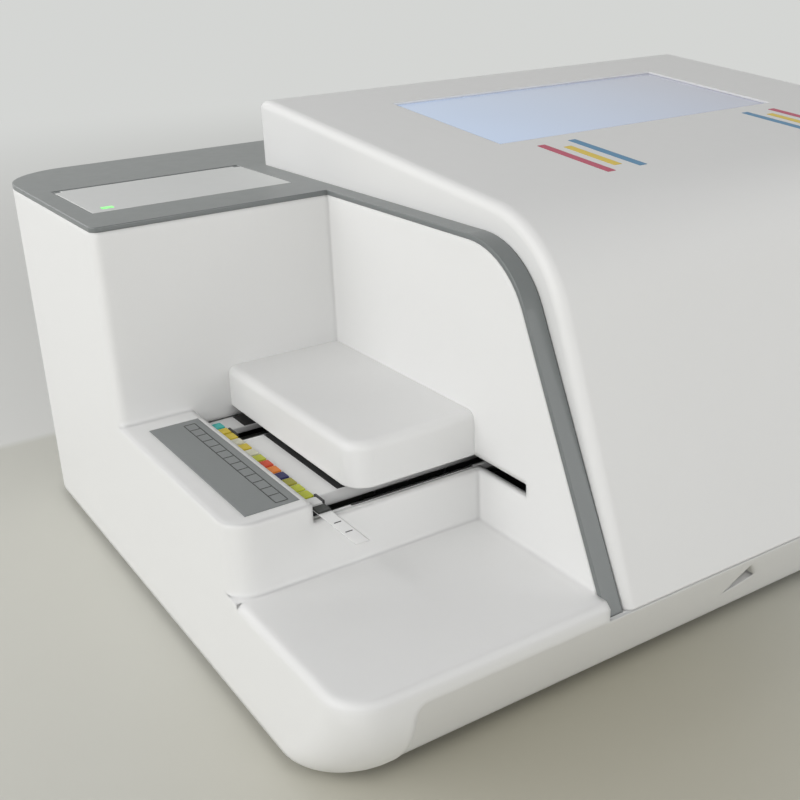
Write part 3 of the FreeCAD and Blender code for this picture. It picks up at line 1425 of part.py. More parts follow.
# ---------------------------------------------------------------- waste drawer

def drawer_bay():
    """A sheet metal sleeve for the waste drawer, open to the right, with a drop opening on top."""
    outer = block(bay_x, bay_y, bay_z)
    hollow = block(
        (bay_x[0] + s.bay_wall, bay_x[1] + BEYOND), (bay_y[0] + s.bay_wall, bay_y[1] - s.bay_wall),
        (bay_z[0] + s.bay_wall, bay_z[1] - s.bay_wall),
    )
    drop_y = (drawer_y[0] + 2 * s.drawer_wall, drawer_y[1] - 2 * s.drawer_wall)
    drop = block(drop_opening_x, drop_y, (bay_z[1] - 2 * s.bay_wall, bay_z[1] + BEYOND))
    return keep("drawer_bay", cut(outer, hollow, drop))


drop_opening_x = (drawer_x[0] + s.drawer_wall, drawer_x[0] + s.drawer_wall + s.drop_length)


def strip_chute():
    """A slanted plate that guides used strips from the end of the table to the drawer."""
    body = new_body("strip_chute")
    low = (drop_opening_x[0], bay_z[1])
    high = (drop_x, shuttle_z[0] - 0.6)
    prism(body, "XZ_Plane", (drawer_y[0] + 5, rear_slot_y[1]), [
        (high[0], high[1] - s.bay_wall), low, (low[0], low[1] + s.bay_wall), high,
    ])
    return keep("strip_chute", body)


def waste_drawer():
    body = new_body("waste_drawer")
    wall = s.drawer_wall
    prism(body, "XY_Plane", drawer_z, rounded_rectangle(drawer_x, drawer_y, as_size(4)))
    carve(body, "XY_Plane", (drawer_z[0] + wall, drawer_z[1] + BEYOND), rounded_rectangle(
        (drawer_x[0] + wall, drawer_x[1] - wall), (drawer_y[0] + wall, drawer_y[1] - wall), as_size(2)
    ))
    return keep("waste_drawer", body)


def drawer_front():
    """The white panel, flush with the right wall, with a finger scoop in its face."""
    body = new_body("drawer_front")
    prism(body, "YZ_Plane", (drawer_x[1], right), rectangle(drawer_y, drawer_z))
    scoop_y = (drawer_y_middle - s.scoop_width / 2, drawer_y_middle + s.scoop_width / 2)
    carve(body, "YZ_Plane", (right - 1.4, right + BEYOND), rounded_rectangle(
        scoop_y, (drawer_z[0] + 8, drawer_z[1] - 6), as_size(4)
    ))
    return keep("drawer_front", body)


# ---------------------------------------------------------------- electronics and rear ports

def main_board():
    board = block(board_x, board_y, (board_z, board_z + s.board_thick))
    top = board_z + s.board_thick
    chips = [
        block((board_x[0] + x, board_x[0] + x + width), (
            board_y[0] + board_length * share, board_y[0] + board_length * share + length
        ), (top, top + height))
        for x, width, share, length, height in (
            (45, 20, 0.4, 20, 2), (80, 12, 0.35, 12, 1.5), (100, 10, 0.6, 16, 1.5), (15, 25, 0.75, 6, 7),
        )
    ]
    can_y = board_y[0] + board_length * 0.25
    cans = [peg("z", (board_x[0] + x, can_y), 4, top, top + 8) for x in (70, 82, 94)]
    return keep("main_board", joined(board, *chips, *cans))


SUPPLY_SLOTS = 6


def power_supply():
    """A closed metal case with a row of vent slots in its top."""
    body = new_body("power_supply")
    z = (floor_z, floor_z + s.supply_height)
    prism(body, "XY_Plane", z, rectangle(supply_x, supply_y))
    pitch = (supply_y[1] - supply_y[0] - 16) / SUPPLY_SLOTS
    for number in range(SUPPLY_SLOTS):
        y = supply_y[0] + 11 + pitch * number
        carve(body, "XY_Plane", (z[1] - 2, z[1] + BEYOND), rectangle(
            (supply_x[0] + 8, supply_x[1] - 8), (y, y + pitch * 0.4)
        ))
    return keep("power_supply", body)


serial_x = (board_x[0] + s.serial_inset, board_x[0] + s.serial_inset + s.serial_width)
serial_z = (board_z + s.board_thick, board_z + s.board_thick + s.serial_height)
usb_x = (board_x[0] + s.usb_inset, board_x[0] + s.usb_inset + s.usb_width)
usb_z = (board_z + s.board_thick, board_z + s.board_thick + s.usb_height)
port_y = (inner_back - s.port_depth, back - s.joint_gap)


def serial_port():
    """A nine-way socket: a flange with a D-shaped shroud and its contacts."""
    body = new_body("serial_port")
    middle_x = (serial_x[0] + serial_x[1]) / 2
    middle_z = (serial_z[0] + serial_z[1]) / 2
    prism(body, "XZ_Plane", port_y, rectangle(serial_x, serial_z))
    carve(body, "XZ_Plane", (port_y[1] - 6, port_y[1] + BEYOND), [
        (middle_x - 9, middle_z + 4), (middle_x - 8, middle_z - 4), (middle_x + 8, middle_z - 4),
        (middle_x + 9, middle_z + 4),
    ])
    contacts = []
    for row, count in ((1.4, 5), (-1.4, 4)):
        for number in range(count):
            x = middle_x + (number - (count - 1) / 2) * 2.8
            contacts.append(peg("y", (x, middle_z + row), 0.5, port_y[1] - 7, port_y[1] - 1.5))
    return keep("serial_port", joined(body, *contacts))


def usb_port():
    body = new_body("usb_port")
    prism(body, "XZ_Plane", port_y, rectangle(usb_x, usb_z))
    for low in (1.5, 8):
        z = usb_z[0] + low
        mouth_x = (usb_x[0] + 0.5, usb_x[1] - 0.5)
        carve(body, "XZ_Plane", (port_y[1] - 9, port_y[1] + BEYOND), rectangle(mouth_x, (z, z + 4.5)))
        prism(body, "XZ_Plane", (port_y[1] - 9.5, port_y[1] - 1), rectangle(
            (mouth_x[0] + 1, mouth_x[1] - 1), (z + 1.4, z + 3)
        ))
    return keep("usb_port", body)


def power_inlet():
    """A three-pole mains inlet, recessed into the rear wall."""
    body = new_body("power_inlet")
    middle_x = (inlet_x[0] + inlet_x[1]) / 2
    middle_z = (inlet_z[0] + inlet_z[1]) / 2
    prism(body, "XZ_Plane", (back - s.inlet_depth, back - 0.3), rectangle(inlet_x, inlet_z))
    carve(body, "XZ_Plane", (back - 18, back + BEYOND), [
        (middle_x - 12, middle_z - 8), (middle_x + 12, middle_z - 8), (middle_x + 12, middle_z + 3),
        (middle_x + 8, middle_z + 8), (middle_x - 8, middle_z + 8), (middle_x - 12, middle_z + 3),
    ])
    for across, up in ((-7, -2), (7, -2), (0, 2)):
        x = middle_x + across
        z = middle_z + up
        prism(body, "XZ_Plane", (back - 19, back - 3), rectangle((x - 1, x + 1), (z - 2, z + 2)))
    return keep("power_inlet", body)


switch_wall = as_size(1.5)
rocker_x = (switch_x[0] + switch_wall + 0.4, switch_x[1] - switch_wall - 0.4)
rocker_y = back - 7
rocker_z = (inlet_z[0] + inlet_z[1]) / 2


def switch_frame():
    body = new_body("switch_frame")
    prism(body, "XZ_Plane", (back - 20, back - 0.3), rectangle(switch_x, inlet_z))
    carve(body, "XZ_Plane", (back - 15, back + BEYOND), rectangle(
        (switch_x[0] + switch_wall, switch_x[1] - switch_wall),
        (inlet_z[0] + switch_wall, inlet_z[1] - switch_wall),
    ))
    pivot = rod("x", (rocker_y, rocker_z), s.pivot_radius, switch_x[0] + 1, switch_x[1] - 1)
    return keep("switch_frame", joined(body, pivot))


def power_rocker():
    """A V-faced rocker, drawn about its pivot and resting with its lower half pressed in."""
    body = new_body("power_rocker")
    tip_y = s.rocker_depth + s.rocker_dish
    heel_z = s.rocker_reach * 0.83
    prism(body, "YZ_Plane", rocker_x, [
        (0 - s.rocker_depth * 0.83, 0 - heel_z), (s.rocker_depth * 0.83, 0 - s.rocker_reach),
        (tip_y, 0 - s.rocker_reach), (s.rocker_depth, 0),
        (tip_y, s.rocker_reach), (s.rocker_depth * 0.83, s.rocker_reach),
        (0 - s.rocker_depth * 0.83, heel_z),
    ])
    carve(body, "YZ_Plane", (rocker_x[0] - BEYOND, rocker_x[1] + BEYOND),
          (0, 0, s.pivot_radius + s.fit_gap))
    body.Placement.Rotation = Rotation(Vector(1, 0, 0), -s.rocker_tilt.value)
    bind(body, "Placement.Rotation.Angle", 0 - s.rocker_tilt)
    return keep("power_rocker", place(body, 0, rocker_y, rocker_z))


PIECES = (
    main_housing, base_plate, rubber_feet, case_screws, gray_trim, console_cover, touch_screen,
    display_module, display_bracket, strip_hood, label_plate, strip_deck, test_strip, reagent_pads,
    transport_frame, guide_rods, strip_shuttle, shuttle_rack, drive_pinion, drive_motor,
    reader_frame, reader_rods, reader_screw, reader_motor, reading_head, reader_lens, reader_leds,
    printer_tub, lid_hinge_pin, printer_lid, status_light, paper_roll, roll_spindle, print_head,
    platen_roller, platen_gear, printer_idler, printer_motor_gear, printer_motor, drawer_bay,
    strip_chute, waste_drawer, drawer_front, main_board, power_supply, serial_port, usb_port,
    power_inlet, switch_frame, power_rocker,
)


def write_parts():
    doc.recompute()
    faults = [item.Name for item in doc.Objects if {"Invalid", "Error"} & set(item.State)]
    if faults:
        raise RuntimeError(f"objects that failed: {faults}")
    for name, thing in SUBPARTS.items():
        if thing.Shape.isNull() or not thing.Shape.isValid():
            raise RuntimeError(f"{name} has no valid shape")
    os.makedirs("parts", exist_ok=True)
    for name, thing in SUBPARTS.items():
        thing.Shape.exportStep(f"parts/{name}.step")


for piece in PIECES:
    piece()
write_parts()
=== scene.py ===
"""Looks of a bench-top urine analyzer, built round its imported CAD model."""

import json
import math

import bmesh
import bpy
from bpy.props import FloatProperty, FloatVectorProperty, IntProperty, PointerProperty
from mathutils import Matrix, Vector

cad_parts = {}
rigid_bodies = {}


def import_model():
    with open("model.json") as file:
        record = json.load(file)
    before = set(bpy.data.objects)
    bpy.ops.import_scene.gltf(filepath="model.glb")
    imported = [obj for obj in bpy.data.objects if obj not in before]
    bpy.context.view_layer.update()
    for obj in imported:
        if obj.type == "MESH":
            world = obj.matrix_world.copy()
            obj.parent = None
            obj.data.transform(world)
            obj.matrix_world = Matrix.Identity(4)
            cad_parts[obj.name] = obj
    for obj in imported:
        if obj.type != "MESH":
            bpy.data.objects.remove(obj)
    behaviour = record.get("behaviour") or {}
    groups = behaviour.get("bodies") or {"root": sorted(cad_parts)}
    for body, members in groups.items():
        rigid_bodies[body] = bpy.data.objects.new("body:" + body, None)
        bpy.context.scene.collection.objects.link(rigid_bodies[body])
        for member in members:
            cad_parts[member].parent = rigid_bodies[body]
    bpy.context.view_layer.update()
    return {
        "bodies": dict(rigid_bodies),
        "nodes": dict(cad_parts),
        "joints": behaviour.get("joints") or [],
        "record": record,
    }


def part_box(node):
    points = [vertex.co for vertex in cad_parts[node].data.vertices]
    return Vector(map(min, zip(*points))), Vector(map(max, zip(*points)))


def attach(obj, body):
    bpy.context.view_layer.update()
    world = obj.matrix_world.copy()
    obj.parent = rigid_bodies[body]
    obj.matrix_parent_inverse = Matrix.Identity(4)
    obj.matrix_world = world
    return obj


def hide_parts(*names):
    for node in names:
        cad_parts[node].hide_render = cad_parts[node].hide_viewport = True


bl_info = {
    "name": "Urine Analyzer Looks",
    "version": (1, 0, 0),
    "blender": (4, 5, 0),
    "location": "3D View > Sidebar > Analyzer",
    "description": "Finishes, printed marks and studio of a bench-top urine analyzer",
    "category": "Object",
}

FRAME = {}


# ---------------------------------------------------------------- settings


def length(name, description, default):
    return FloatProperty(
        name=name, description=description, default=default, min=0, subtype="DISTANCE", unit="LENGTH"
    )


def place(name, description, default):
    return FloatProperty(
        name=name, description=description, default=default, subtype="DISTANCE", unit="LENGTH"
    )


def colour(name, description, default):
    return FloatVectorProperty(
        name=name, description=description, default=default, size=3, min=0, max=1, subtype="COLOR"
    )


def share(name, description, default):
    return FloatProperty(
        name=name, description=description, default=default, min=0, max=1, subtype="FACTOR"
    )


def angle(name, description, degrees):
    return FloatProperty(
        name=name, description=description, default=math.radians(degrees), subtype="ANGLE", unit="ROTATION"
    )


def strength(name, description, default):
    return FloatProperty(name=name, description=description, default=default, min=0)


class AnalyzerFinish(bpy.types.PropertyGroup):
    """Colours and surface figures of the moulded case."""

    white: colour("White", "Warm white of the case", (0.80, 0.80, 0.792))
    trim: colour("Trim", "Gray of the trim and band", (0.160, 0.174, 0.174))
    lid: colour("Lid", "Light gray of the printer lid", (0.70, 0.71, 0.70))
    label: colour("Label", "Gray film beside the strip", (0.215, 0.23, 0.23))
    case_roughness: share("Case roughness", "Roughness of the white moulding", 0.42)
    grain: length("Grain", "Width of the moulded texture", 0.0006)
    edge: length("Edge", "Softening of the moulded edges", 0.0009)
    soft_edge: length("Soft edge", "Softening of the tray's edges", 0.0036)


class AnalyzerMarks(bpy.types.PropertyGroup):
    """Printed stripes, outlines and the reagent pads."""

    red: colour("Red", "First stripe", (0.50, 0.035, 0.10))
    yellow: colour("Yellow", "Middle stripe", (0.78, 0.57, 0.04))
    blue: colour("Blue", "Last stripe", (0.05, 0.23, 0.42))
    stripe_width: length("Stripe width", "Width of a printed stripe", 0.0039)
    stripe_pitch: length("Stripe pitch", "Distance between stripes", 0.0082)
    stripe_middle: place("Stripe middle", "Middle stripe of the left set", -0.0078)
    mirror: place("Mirror", "Plane midway between the two sets", 0.0508)
    film: length("Film", "Thickness of a printed film", 0.00008)
    line: length("Line", "Width of a printed line on the label", 0.00035)
    pad_share: share("Pad share", "Part of its pitch that a pad covers", 0.80)
    pad_corner: length("Pad corner", "Rounding of a pad's corners", 0.0003)
    divisions: IntProperty(name="Divisions", description="Cross lines on the label", default=12, min=1)


class AnalyzerScreen(bpy.types.PropertyGroup):
    """The lit touch screen."""

    left: colour("Left", "Glow at the left of the screen", (0.40, 0.52, 0.74))
    right: colour("Right", "Glow at the right of the screen", (0.27, 0.285, 0.37))
    glow: strength("Glow", "Strength of the display", 0.34)
    # A dark rim round the glass, painted shade for the shadow of the screen's recess wall.
    gasket: length("Gasket", "Width of the dark gasket round the glass", 0.0009)


class AnalyzerStudio(bpy.types.PropertyGroup):
    """Camera, lights and floor."""

    eye: FloatVectorProperty(
        name="Eye", description="Camera's place", default=(-0.2985, -0.3801, 0.2444),
        size=3, subtype="TRANSLATION", unit="LENGTH",
    )
    yaw: angle("Yaw", "Turn of the view from +Y towards +X", 31.52)
    pitch: angle("Pitch", "Downward tilt of the view", 22.23)
    roll: angle("Roll", "Roll of the camera about its view", -2.53)
    lens: FloatProperty(name="Lens", description="Focal length in millimetres", default=49.79, min=1)
    floor: colour("Floor", "Pale floor", (0.59, 0.585, 0.53))
    # Colour of the painted shadow on the floor in front of the object.
    pool: colour("Pool", "Floor in front of the object", (0.49, 0.47, 0.385))
    far_floor: colour("Far floor", "Floor behind the object", (0.72, 0.72, 0.695))
    backdrop: colour("Backdrop", "Pale surroundings, as the camera sees them", (0.66, 0.67, 0.655))
    line: place("Line", "Where the far floor begins", 0.208)
    near_reach: length("Near reach", "Distance at which the floor starts to fade", 0.50)
    far_reach: length("Far reach", "Distance at which the floor has faded", 1.60)
    sky: strength("Sky", "Strength of the even surrounding light", 0.22)
    side: strength("Side", "Power of the left soft box in watts", 13.5)
    front: strength("Front", "Power of the front soft box in watts", 9.5)
    right: strength("Right", "Power of the right soft box in watts", 4)
    back: strength("Back", "Power of the rear soft box in watts", 7)


def settings(name):
    return getattr(bpy.context.scene, "analyzer_" + name)


# ---------------------------------------------------------------- node helpers

FLOAT, COLOR, VECTOR = "NodeSocketFloat", "NodeSocketColor", "NodeSocketVector"

# What every surface group puts out, with the Principled socket that takes it.
SURFACE = (("Color", COLOR, "Base Color"), ("Roughness", FLOAT, "Roughness"), ("Normal", VECTOR, "Normal"))

RELIEF = 0.0001  # depth of a surface's fine relief
MIX_FIRST, MIX_SECOND, MIX_RESULT = 6, 7, 2  # colour sockets of a Mix node


class Tree:
    """A thin wrapper that adds nodes and sets or links their inputs in one call."""

    def __init__(self, tree):
        self.tree = tree

    def add(self, kind, inputs=None, **options):
        node = self.tree.nodes.new(kind)
        for key, value in options.items():
            setattr(node, key, value)
        self.fill(node, inputs or {})
        return node

    def fill(self, node, values):
        for key, value in values.items():
            self.feed(node.inputs[key], value)

    def feed(self, socket, value):
        if isinstance(value, bpy.types.NodeSocket):
            self.tree.links.new(value, socket)
        elif hasattr(value, "__len__") and len(value) == 3 and len(socket.default_value) == 4:
            socket.default_value = (*value, 1)
        else:
            socket.default_value = value

    def here(self):
        """The place on the piece, in its own coordinates."""
        return self.add("ShaderNodeTexCoord").outputs["Object"]

    def axis(self, vector, name):
        return self.add("ShaderNodeSeparateXYZ", {"Vector": vector}).outputs[name]

    def math(self, operation, first, second=0.0, clamp=False):
        node = self.add("ShaderNodeMath", {0: first, 1: second}, operation=operation, use_clamp=clamp)
        return node.outputs[0]

    def swing(self, base, mask, span):
        """base + mask * span."""
        return self.math("ADD", base, self.math("MULTIPLY", mask, span))

    def spread(self, value, start, end, **options):
        """How far a value is from start, 0, to end, 1."""
        inputs = {"Value": value, "From Min": start, "From Max": end}
        return self.add("ShaderNodeMapRange", inputs, **options).outputs["Result"]

    def noise(self, where, scale, detail=2.0, **figures):
        inputs = {"Vector": where, "Scale": scale, "Detail": detail, **figures}
        return self.add("ShaderNodeTexNoise", inputs).outputs["Fac"]

    def tinted(self, value, shade):
        """A colour made lighter or darker by a value round 1."""
        return self.add("ShaderNodeHueSaturation", {"Value": value, "Color": shade}).outputs[0]

    def blend(self, factor, first, second):
        node = self.add("ShaderNodeMix", data_type="RGBA", blend_type="MIX", clamp_factor=True)
        self.fill(node, {0: factor, MIX_FIRST: first, MIX_SECOND: second})
        return node.outputs[MIX_RESULT]

    def bump(self, height, strength, distance=RELIEF, **normal):
        inputs = {"Strength": strength, "Distance": distance, "Height": height, **normal}
        return self.add("ShaderNodeBump", inputs).outputs["Normal"]

    def ramp(self, factor, stops, interpolation="LINEAR"):
        node = self.add("ShaderNodeValToRGB", {"Fac": factor})
        node.color_ramp.interpolation = interpolation
        elements = node.color_ramp.elements
        while len(elements) < len(stops):
            elements.new(1)
        for element, (position, shade) in zip(elements, stops):
            element.position = position
            element.color = (*shade, 1)
        return node.outputs["Color"]

    def cover(self, shader, group, figures):
        """Lays a surface group on a Principled shader."""
        surface = self.add("ShaderNodeGroup", node_tree=group_named(group))
        self.fill(surface, figures)
        for output, _, socket in SURFACE:
            self.feed(shader.inputs[socket], surface.outputs[output])


def shader_group(name, takes):
    """A new surface group whose inputs are (name, socket type, default) rows."""
    group = bpy.data.node_groups.new(name, "ShaderNodeTree")
    for socket, kind, default in takes:
        made = group.interface.new_socket(socket, in_out="INPUT", socket_type=kind)
        made.default_value = default
    for socket, kind, _ in SURFACE:
        group.interface.new_socket(socket, in_out="OUTPUT", socket_type=kind)
    tree = Tree(group)
    return group, tree, tree.add("NodeGroupInput").outputs, tree.add("NodeGroupOutput").inputs


def moulded_group():
    """Moulded plastic: fine texture, slow tone changes, corners lightened by a painted highlight that scuff
    noise breaks up like wear, and settled dust.
    """
    group, t, take, give = shader_group("moulded_surface", (
        ("Color", COLOR, (0.8, 0.8, 0.8, 1)), ("Roughness", FLOAT, 0.45), ("Grain Size", FLOAT, 0.0006),
        ("Grain Depth", FLOAT, 0.3), ("Edge", FLOAT, 0.0006), ("Mottle", FLOAT, 0.03), ("Dust", FLOAT, 0.04),
    ))
    patches, scuff_marks = 9.0, 160.0  # a metre
    corner_start, corner_full = 0.97, 0.80  # cosine of a corner's turn from the flat
    # Lift and share of the painted highlight on the corners.
    corner_light, corner_wear = 1.12, 0.15
    dust_colour, dust_roughness, scuff_roughness = (0.55, 0.53, 0.49), 1.5, 0.10
    where = t.here()
    fine = t.noise(where, t.math("DIVIDE", 1.0, take["Grain Size"]), 2.0, Roughness=0.6)
    slow = t.noise(where, patches, 3.0)
    scuffs = t.noise(where, scuff_marks, 4.0, Roughness=0.7)
    bevel = t.add("ShaderNodeBevel", {"Radius": take["Edge"]}, samples=8).outputs[0]
    flat = t.add("ShaderNodeNewGeometry").outputs["Normal"]
    turn = t.add("ShaderNodeVectorMath", {0: bevel, 1: flat}, operation="DOT_PRODUCT").outputs["Value"]
    # Painted highlight: corners turned away from the flat get a lighter colour, masked by scuff noise as
    # wear.
    worn = t.math("MULTIPLY", t.spread(turn, corner_start, corner_full), scuffs)
    tone = t.math("MULTIPLY", t.math("SUBTRACT", slow, 0.5), take["Mottle"])
    shade = t.tinted(t.math("ADD", 1.0, tone), take["Color"])
    settled = t.math("MULTIPLY", t.math("MAXIMUM", t.axis(flat, "Z"), 0.0), scuffs)
    dust = t.math("MULTIPLY", settled, take["Dust"])
    dusty = t.blend(dust, shade, dust_colour)
    lighter = t.tinted(corner_light, dusty)
    t.feed(give["Color"], t.blend(t.math("MULTIPLY", worn, corner_wear), dusty, lighter))
    rough = t.swing(take["Roughness"], scuffs, scuff_roughness)
    matted = t.math("MULTIPLY", dust, dust_roughness)
    t.feed(give["Roughness"], t.math("ADD", rough, matted, clamp=True))
    t.feed(give["Normal"], t.bump(fine, take["Grain Depth"], Normal=bevel))
    return group


def metal_group():
    """Sheet or ground metal: fine lines along an axis, blotches and a softened edge."""
    group, t, take, give = shader_group("worked_metal", (
        ("Color", COLOR, (0.6, 0.6, 0.6, 1)), ("Roughness", FLOAT, 0.3),
        ("Lines", VECTOR, (60, 900, 900)), ("Depth", FLOAT, 0.15), ("Edge", FLOAT, 0.0003),
    ))
    blotches, darkest, tone_span, line_roughness = 45.0, 0.92, 0.16, 0.18
    where = t.here()
    drawn = t.add("ShaderNodeVectorMath", {0: where, 1: take["Lines"]}, operation="MULTIPLY").outputs[0]
    lines = t.noise(drawn, 1.0, 3.0)
    blotch = t.noise(where, blotches, 4.0)
    t.feed(give["Color"], t.tinted(t.swing(darkest, blotch, tone_span), take["Color"]))
    t.feed(give["Roughness"], t.swing(take["Roughness"], lines, line_roughness))
    bevel = t.add("ShaderNodeBevel", {"Radius": take["Edge"]}, samples=4).outputs[0]
    t.feed(give["Normal"], t.bump(lines, take["Depth"], Normal=bevel))
    return group


def fibre_group():
    """Paper and dyed pads: matted fibres and a slightly uneven dye."""
    group, t, take, give = shader_group("paper_fibres", (
        ("Color", COLOR, (0.8, 0.8, 0.8, 1)), ("Fibre", FLOAT, 0.0002), ("Depth", FLOAT, 0.5),
    ))
    dye_patches, darkest, tone_span = 420.0, 0.9, 0.2
    smoothest, mat_span = 0.72, 0.2
    where = t.here()
    mat = t.noise(where, t.math("DIVIDE", 1.0, take["Fibre"]), 5.0, Distortion=1.5)
    dye = t.noise(where, dye_patches, 2.0)
    t.feed(give["Color"], t.tinted(t.swing(darkest, dye, tone_span), take["Color"]))
    t.feed(give["Roughness"], t.swing(smoothest, mat, mat_span))
    t.feed(give["Normal"], t.bump(mat, take["Depth"]))
    return group


GROUP_MAKERS = {"moulded": moulded_group, "metal": metal_group, "fibre": fibre_group}
GROUPS = {}


def group_named(name):
    """A surface group, built when it is first used."""
    if name not in GROUPS:
        GROUPS[name] = GROUP_MAKERS[name]()
    return GROUPS[name]


# ---------------------------------------------------------------- materials


def new_material(name):
    """An empty node material with its Principled shader: (material, tree, shader)."""
    made = bpy.data.materials.new(name)
    made.use_nodes = True
    made.node_tree.nodes.clear()
    tree = Tree(made.node_tree)
    shader = tree.add("ShaderNodeBsdfPrincipled")
    tree.add("ShaderNodeOutputMaterial", {"Surface": shader.outputs["BSDF"]})
    return made, tree, shader


def surfaced(name, group, figures, **shader_values):
    """A material whose colour, roughness and normal come from a surface group."""
    made, tree, shader = new_material(name)
    tree.cover(shader, group, figures)
    tree.fill(shader, shader_values)
    made.diffuse_color = (*figures["Color"], 1)
    return made


def moulded(name, shade, roughness, figures=None, **shader_values):
    finish = settings("finish")
    values = {"Color": tuple(shade), "Roughness": roughness, "Grain Size": finish.grain, "Edge": finish.edge}
    return surfaced(name, "moulded", {**values, **(figures or {})}, **shader_values)


def metal(name, shade, roughness, lines, depth):
    figures = {"Color": shade, "Roughness": roughness, "Lines": lines, "Depth": depth}
    return surfaced(name, "metal", figures, Metallic=1.0)


def dress(made, *nodes):
    """Gives CAD nodes their material."""
    for node in nodes:
        data = FRAME["nodes"][node].data
        data.materials.clear()
        data.materials.append(made)


def dress_mouldings(*rows):
    """Moulded finishes: (material, colour, roughness, surface figures, nodes) rows."""
    for name, shade, roughness, figures, nodes in rows:
        dress(moulded(name, shade, roughness, figures), *nodes)


def dress_metals(*rows):
    """Worked metals: (material, colour, roughness, lines a metre, their depth, nodes) rows."""
    for name, shade, roughness, lines, depth, nodes in rows:
        dress(metal(name, shade, roughness, lines, depth), *nodes)


# ---------------------------------------------------------------- mesh helpers


def ridden(piece, body):
    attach(piece, body)
    return piece


def piece_from(work, name, body, finish):
    """A piece of one finish from a bmesh, which it frees."""
    bmesh.ops.recalc_face_normals(work, faces=work.faces)
    data = bpy.data.meshes.new(name)
    work.to_mesh(data)
    work.free()
    data.materials.append(finish)
    piece = bpy.data.objects.new(name, data)
    bpy.context.scene.collection.objects.link(piece)
    return ridden(piece, body)


def level(z):
    """A lift onto the level plane at a height."""
    return lambda x, y, height: Vector((x, y, z + height))


class SlopingTop:
    """A node's sloping top plane, read from the largest sloping face of its mesh."""

    UP, FORWARD = 0.98, 0.05  # least part of such a face's normal along +Z and -Y

    def __init__(self, node):
        faces = FRAME["nodes"][node].data.polygons
        slopes = [face for face in faces if face.normal.z > self.UP and face.normal.y < -self.FORWARD]
        face = max(slopes, key=lambda face: face.area)
        self.point, self.normal = face.center.copy(), face.normal.copy()

    def lift(self, x, y, height):
        across = self.normal.x * (x - self.point.x) + self.normal.y * (y - self.point.y)
        return Vector((x, y, self.point.z - across / self.normal.z)) + self.normal * height


def prism(work, outline, lift, thickness):
    """A closed thin prism: outline points go through lift(x, y, height) at 0 and at thickness."""
    low = [work.verts.new(lift(x, y, 0.0)) for x, y in outline]
    high = [work.verts.new(lift(x, y, thickness)) for x, y in outline]
    work.faces.new(low[::-1])
    work.faces.new(high)
    for i in range(len(outline)):
        j = (i + 1) % len(outline)
        work.faces.new((low[i], low[j], high[j], high[i]))


def ring_prism(work, outer, inner, lift, thickness):
    """A closed frame between two outlines with the same number of points."""
    rows = []
    for outline, height in ((outer, 0.0), (outer, thickness), (inner, thickness), (inner, 0.0)):
        rows.append([work.verts.new(lift(x, y, height)) for x, y in outline])
    for a, b in ((0, 1), (1, 2), (2, 3), (3, 0)):
        for i in range(len(outer)):
            j = (i + 1) % len(outer)
            work.faces.new((rows[a][i], rows[a][j], rows[b][j], rows[b][i]))


def rounded_outline(x, y, radius, steps=5):
    """Points round a rectangle with round corners."""
    centres = (
        (x[1] - radius, y[0] + radius, -90), (x[1] - radius, y[1] - radius, 0),
        (x[0] + radius, y[1] - radius, 90), (x[0] + radius, y[0] + radius, 180),
    )
    points = []
    for cx, cy, start in centres:
        for step in range(steps + 1):
            turn = math.radians(start + 90 * step / steps)
            points.append((cx + radius * math.cos(turn), cy + radius * math.sin(turn)))
    return points


def frame_outlines(low, high, width, corner, inner_corner):
    """The outer and inner outline of a frame of one width along a box's sides."""
    x, y = (low[0], high[0]), (low[1], high[1])
    inside = tuple((a + width, b - width) for a, b in (x, y))
    return rounded_outline(x, y, corner), rounded_outline(*inside, inner_corner)


ROW_INPUTS = (
    ("Count", "NodeSocketInt", 5), ("Step", VECTOR, (0, 0.005, 0)), ("First", VECTOR, (0, 0, 0)),
    ("Width", FLOAT, 0.005), ("Length", FLOAT, 0.004), ("Height", FLOAT, 0.001),
    ("Corner", FLOAT, 0.0003), ("Crown", FLOAT, 0.25), ("Finish", "NodeSocketMaterial", None),
)
FLAT, CROWNED = 0.0, 0.25  # share of a block's height that its crown takes
BEND_STEPS, WELD = 4, 0.000001  # steps in a round corner, and the gap that a seam closes


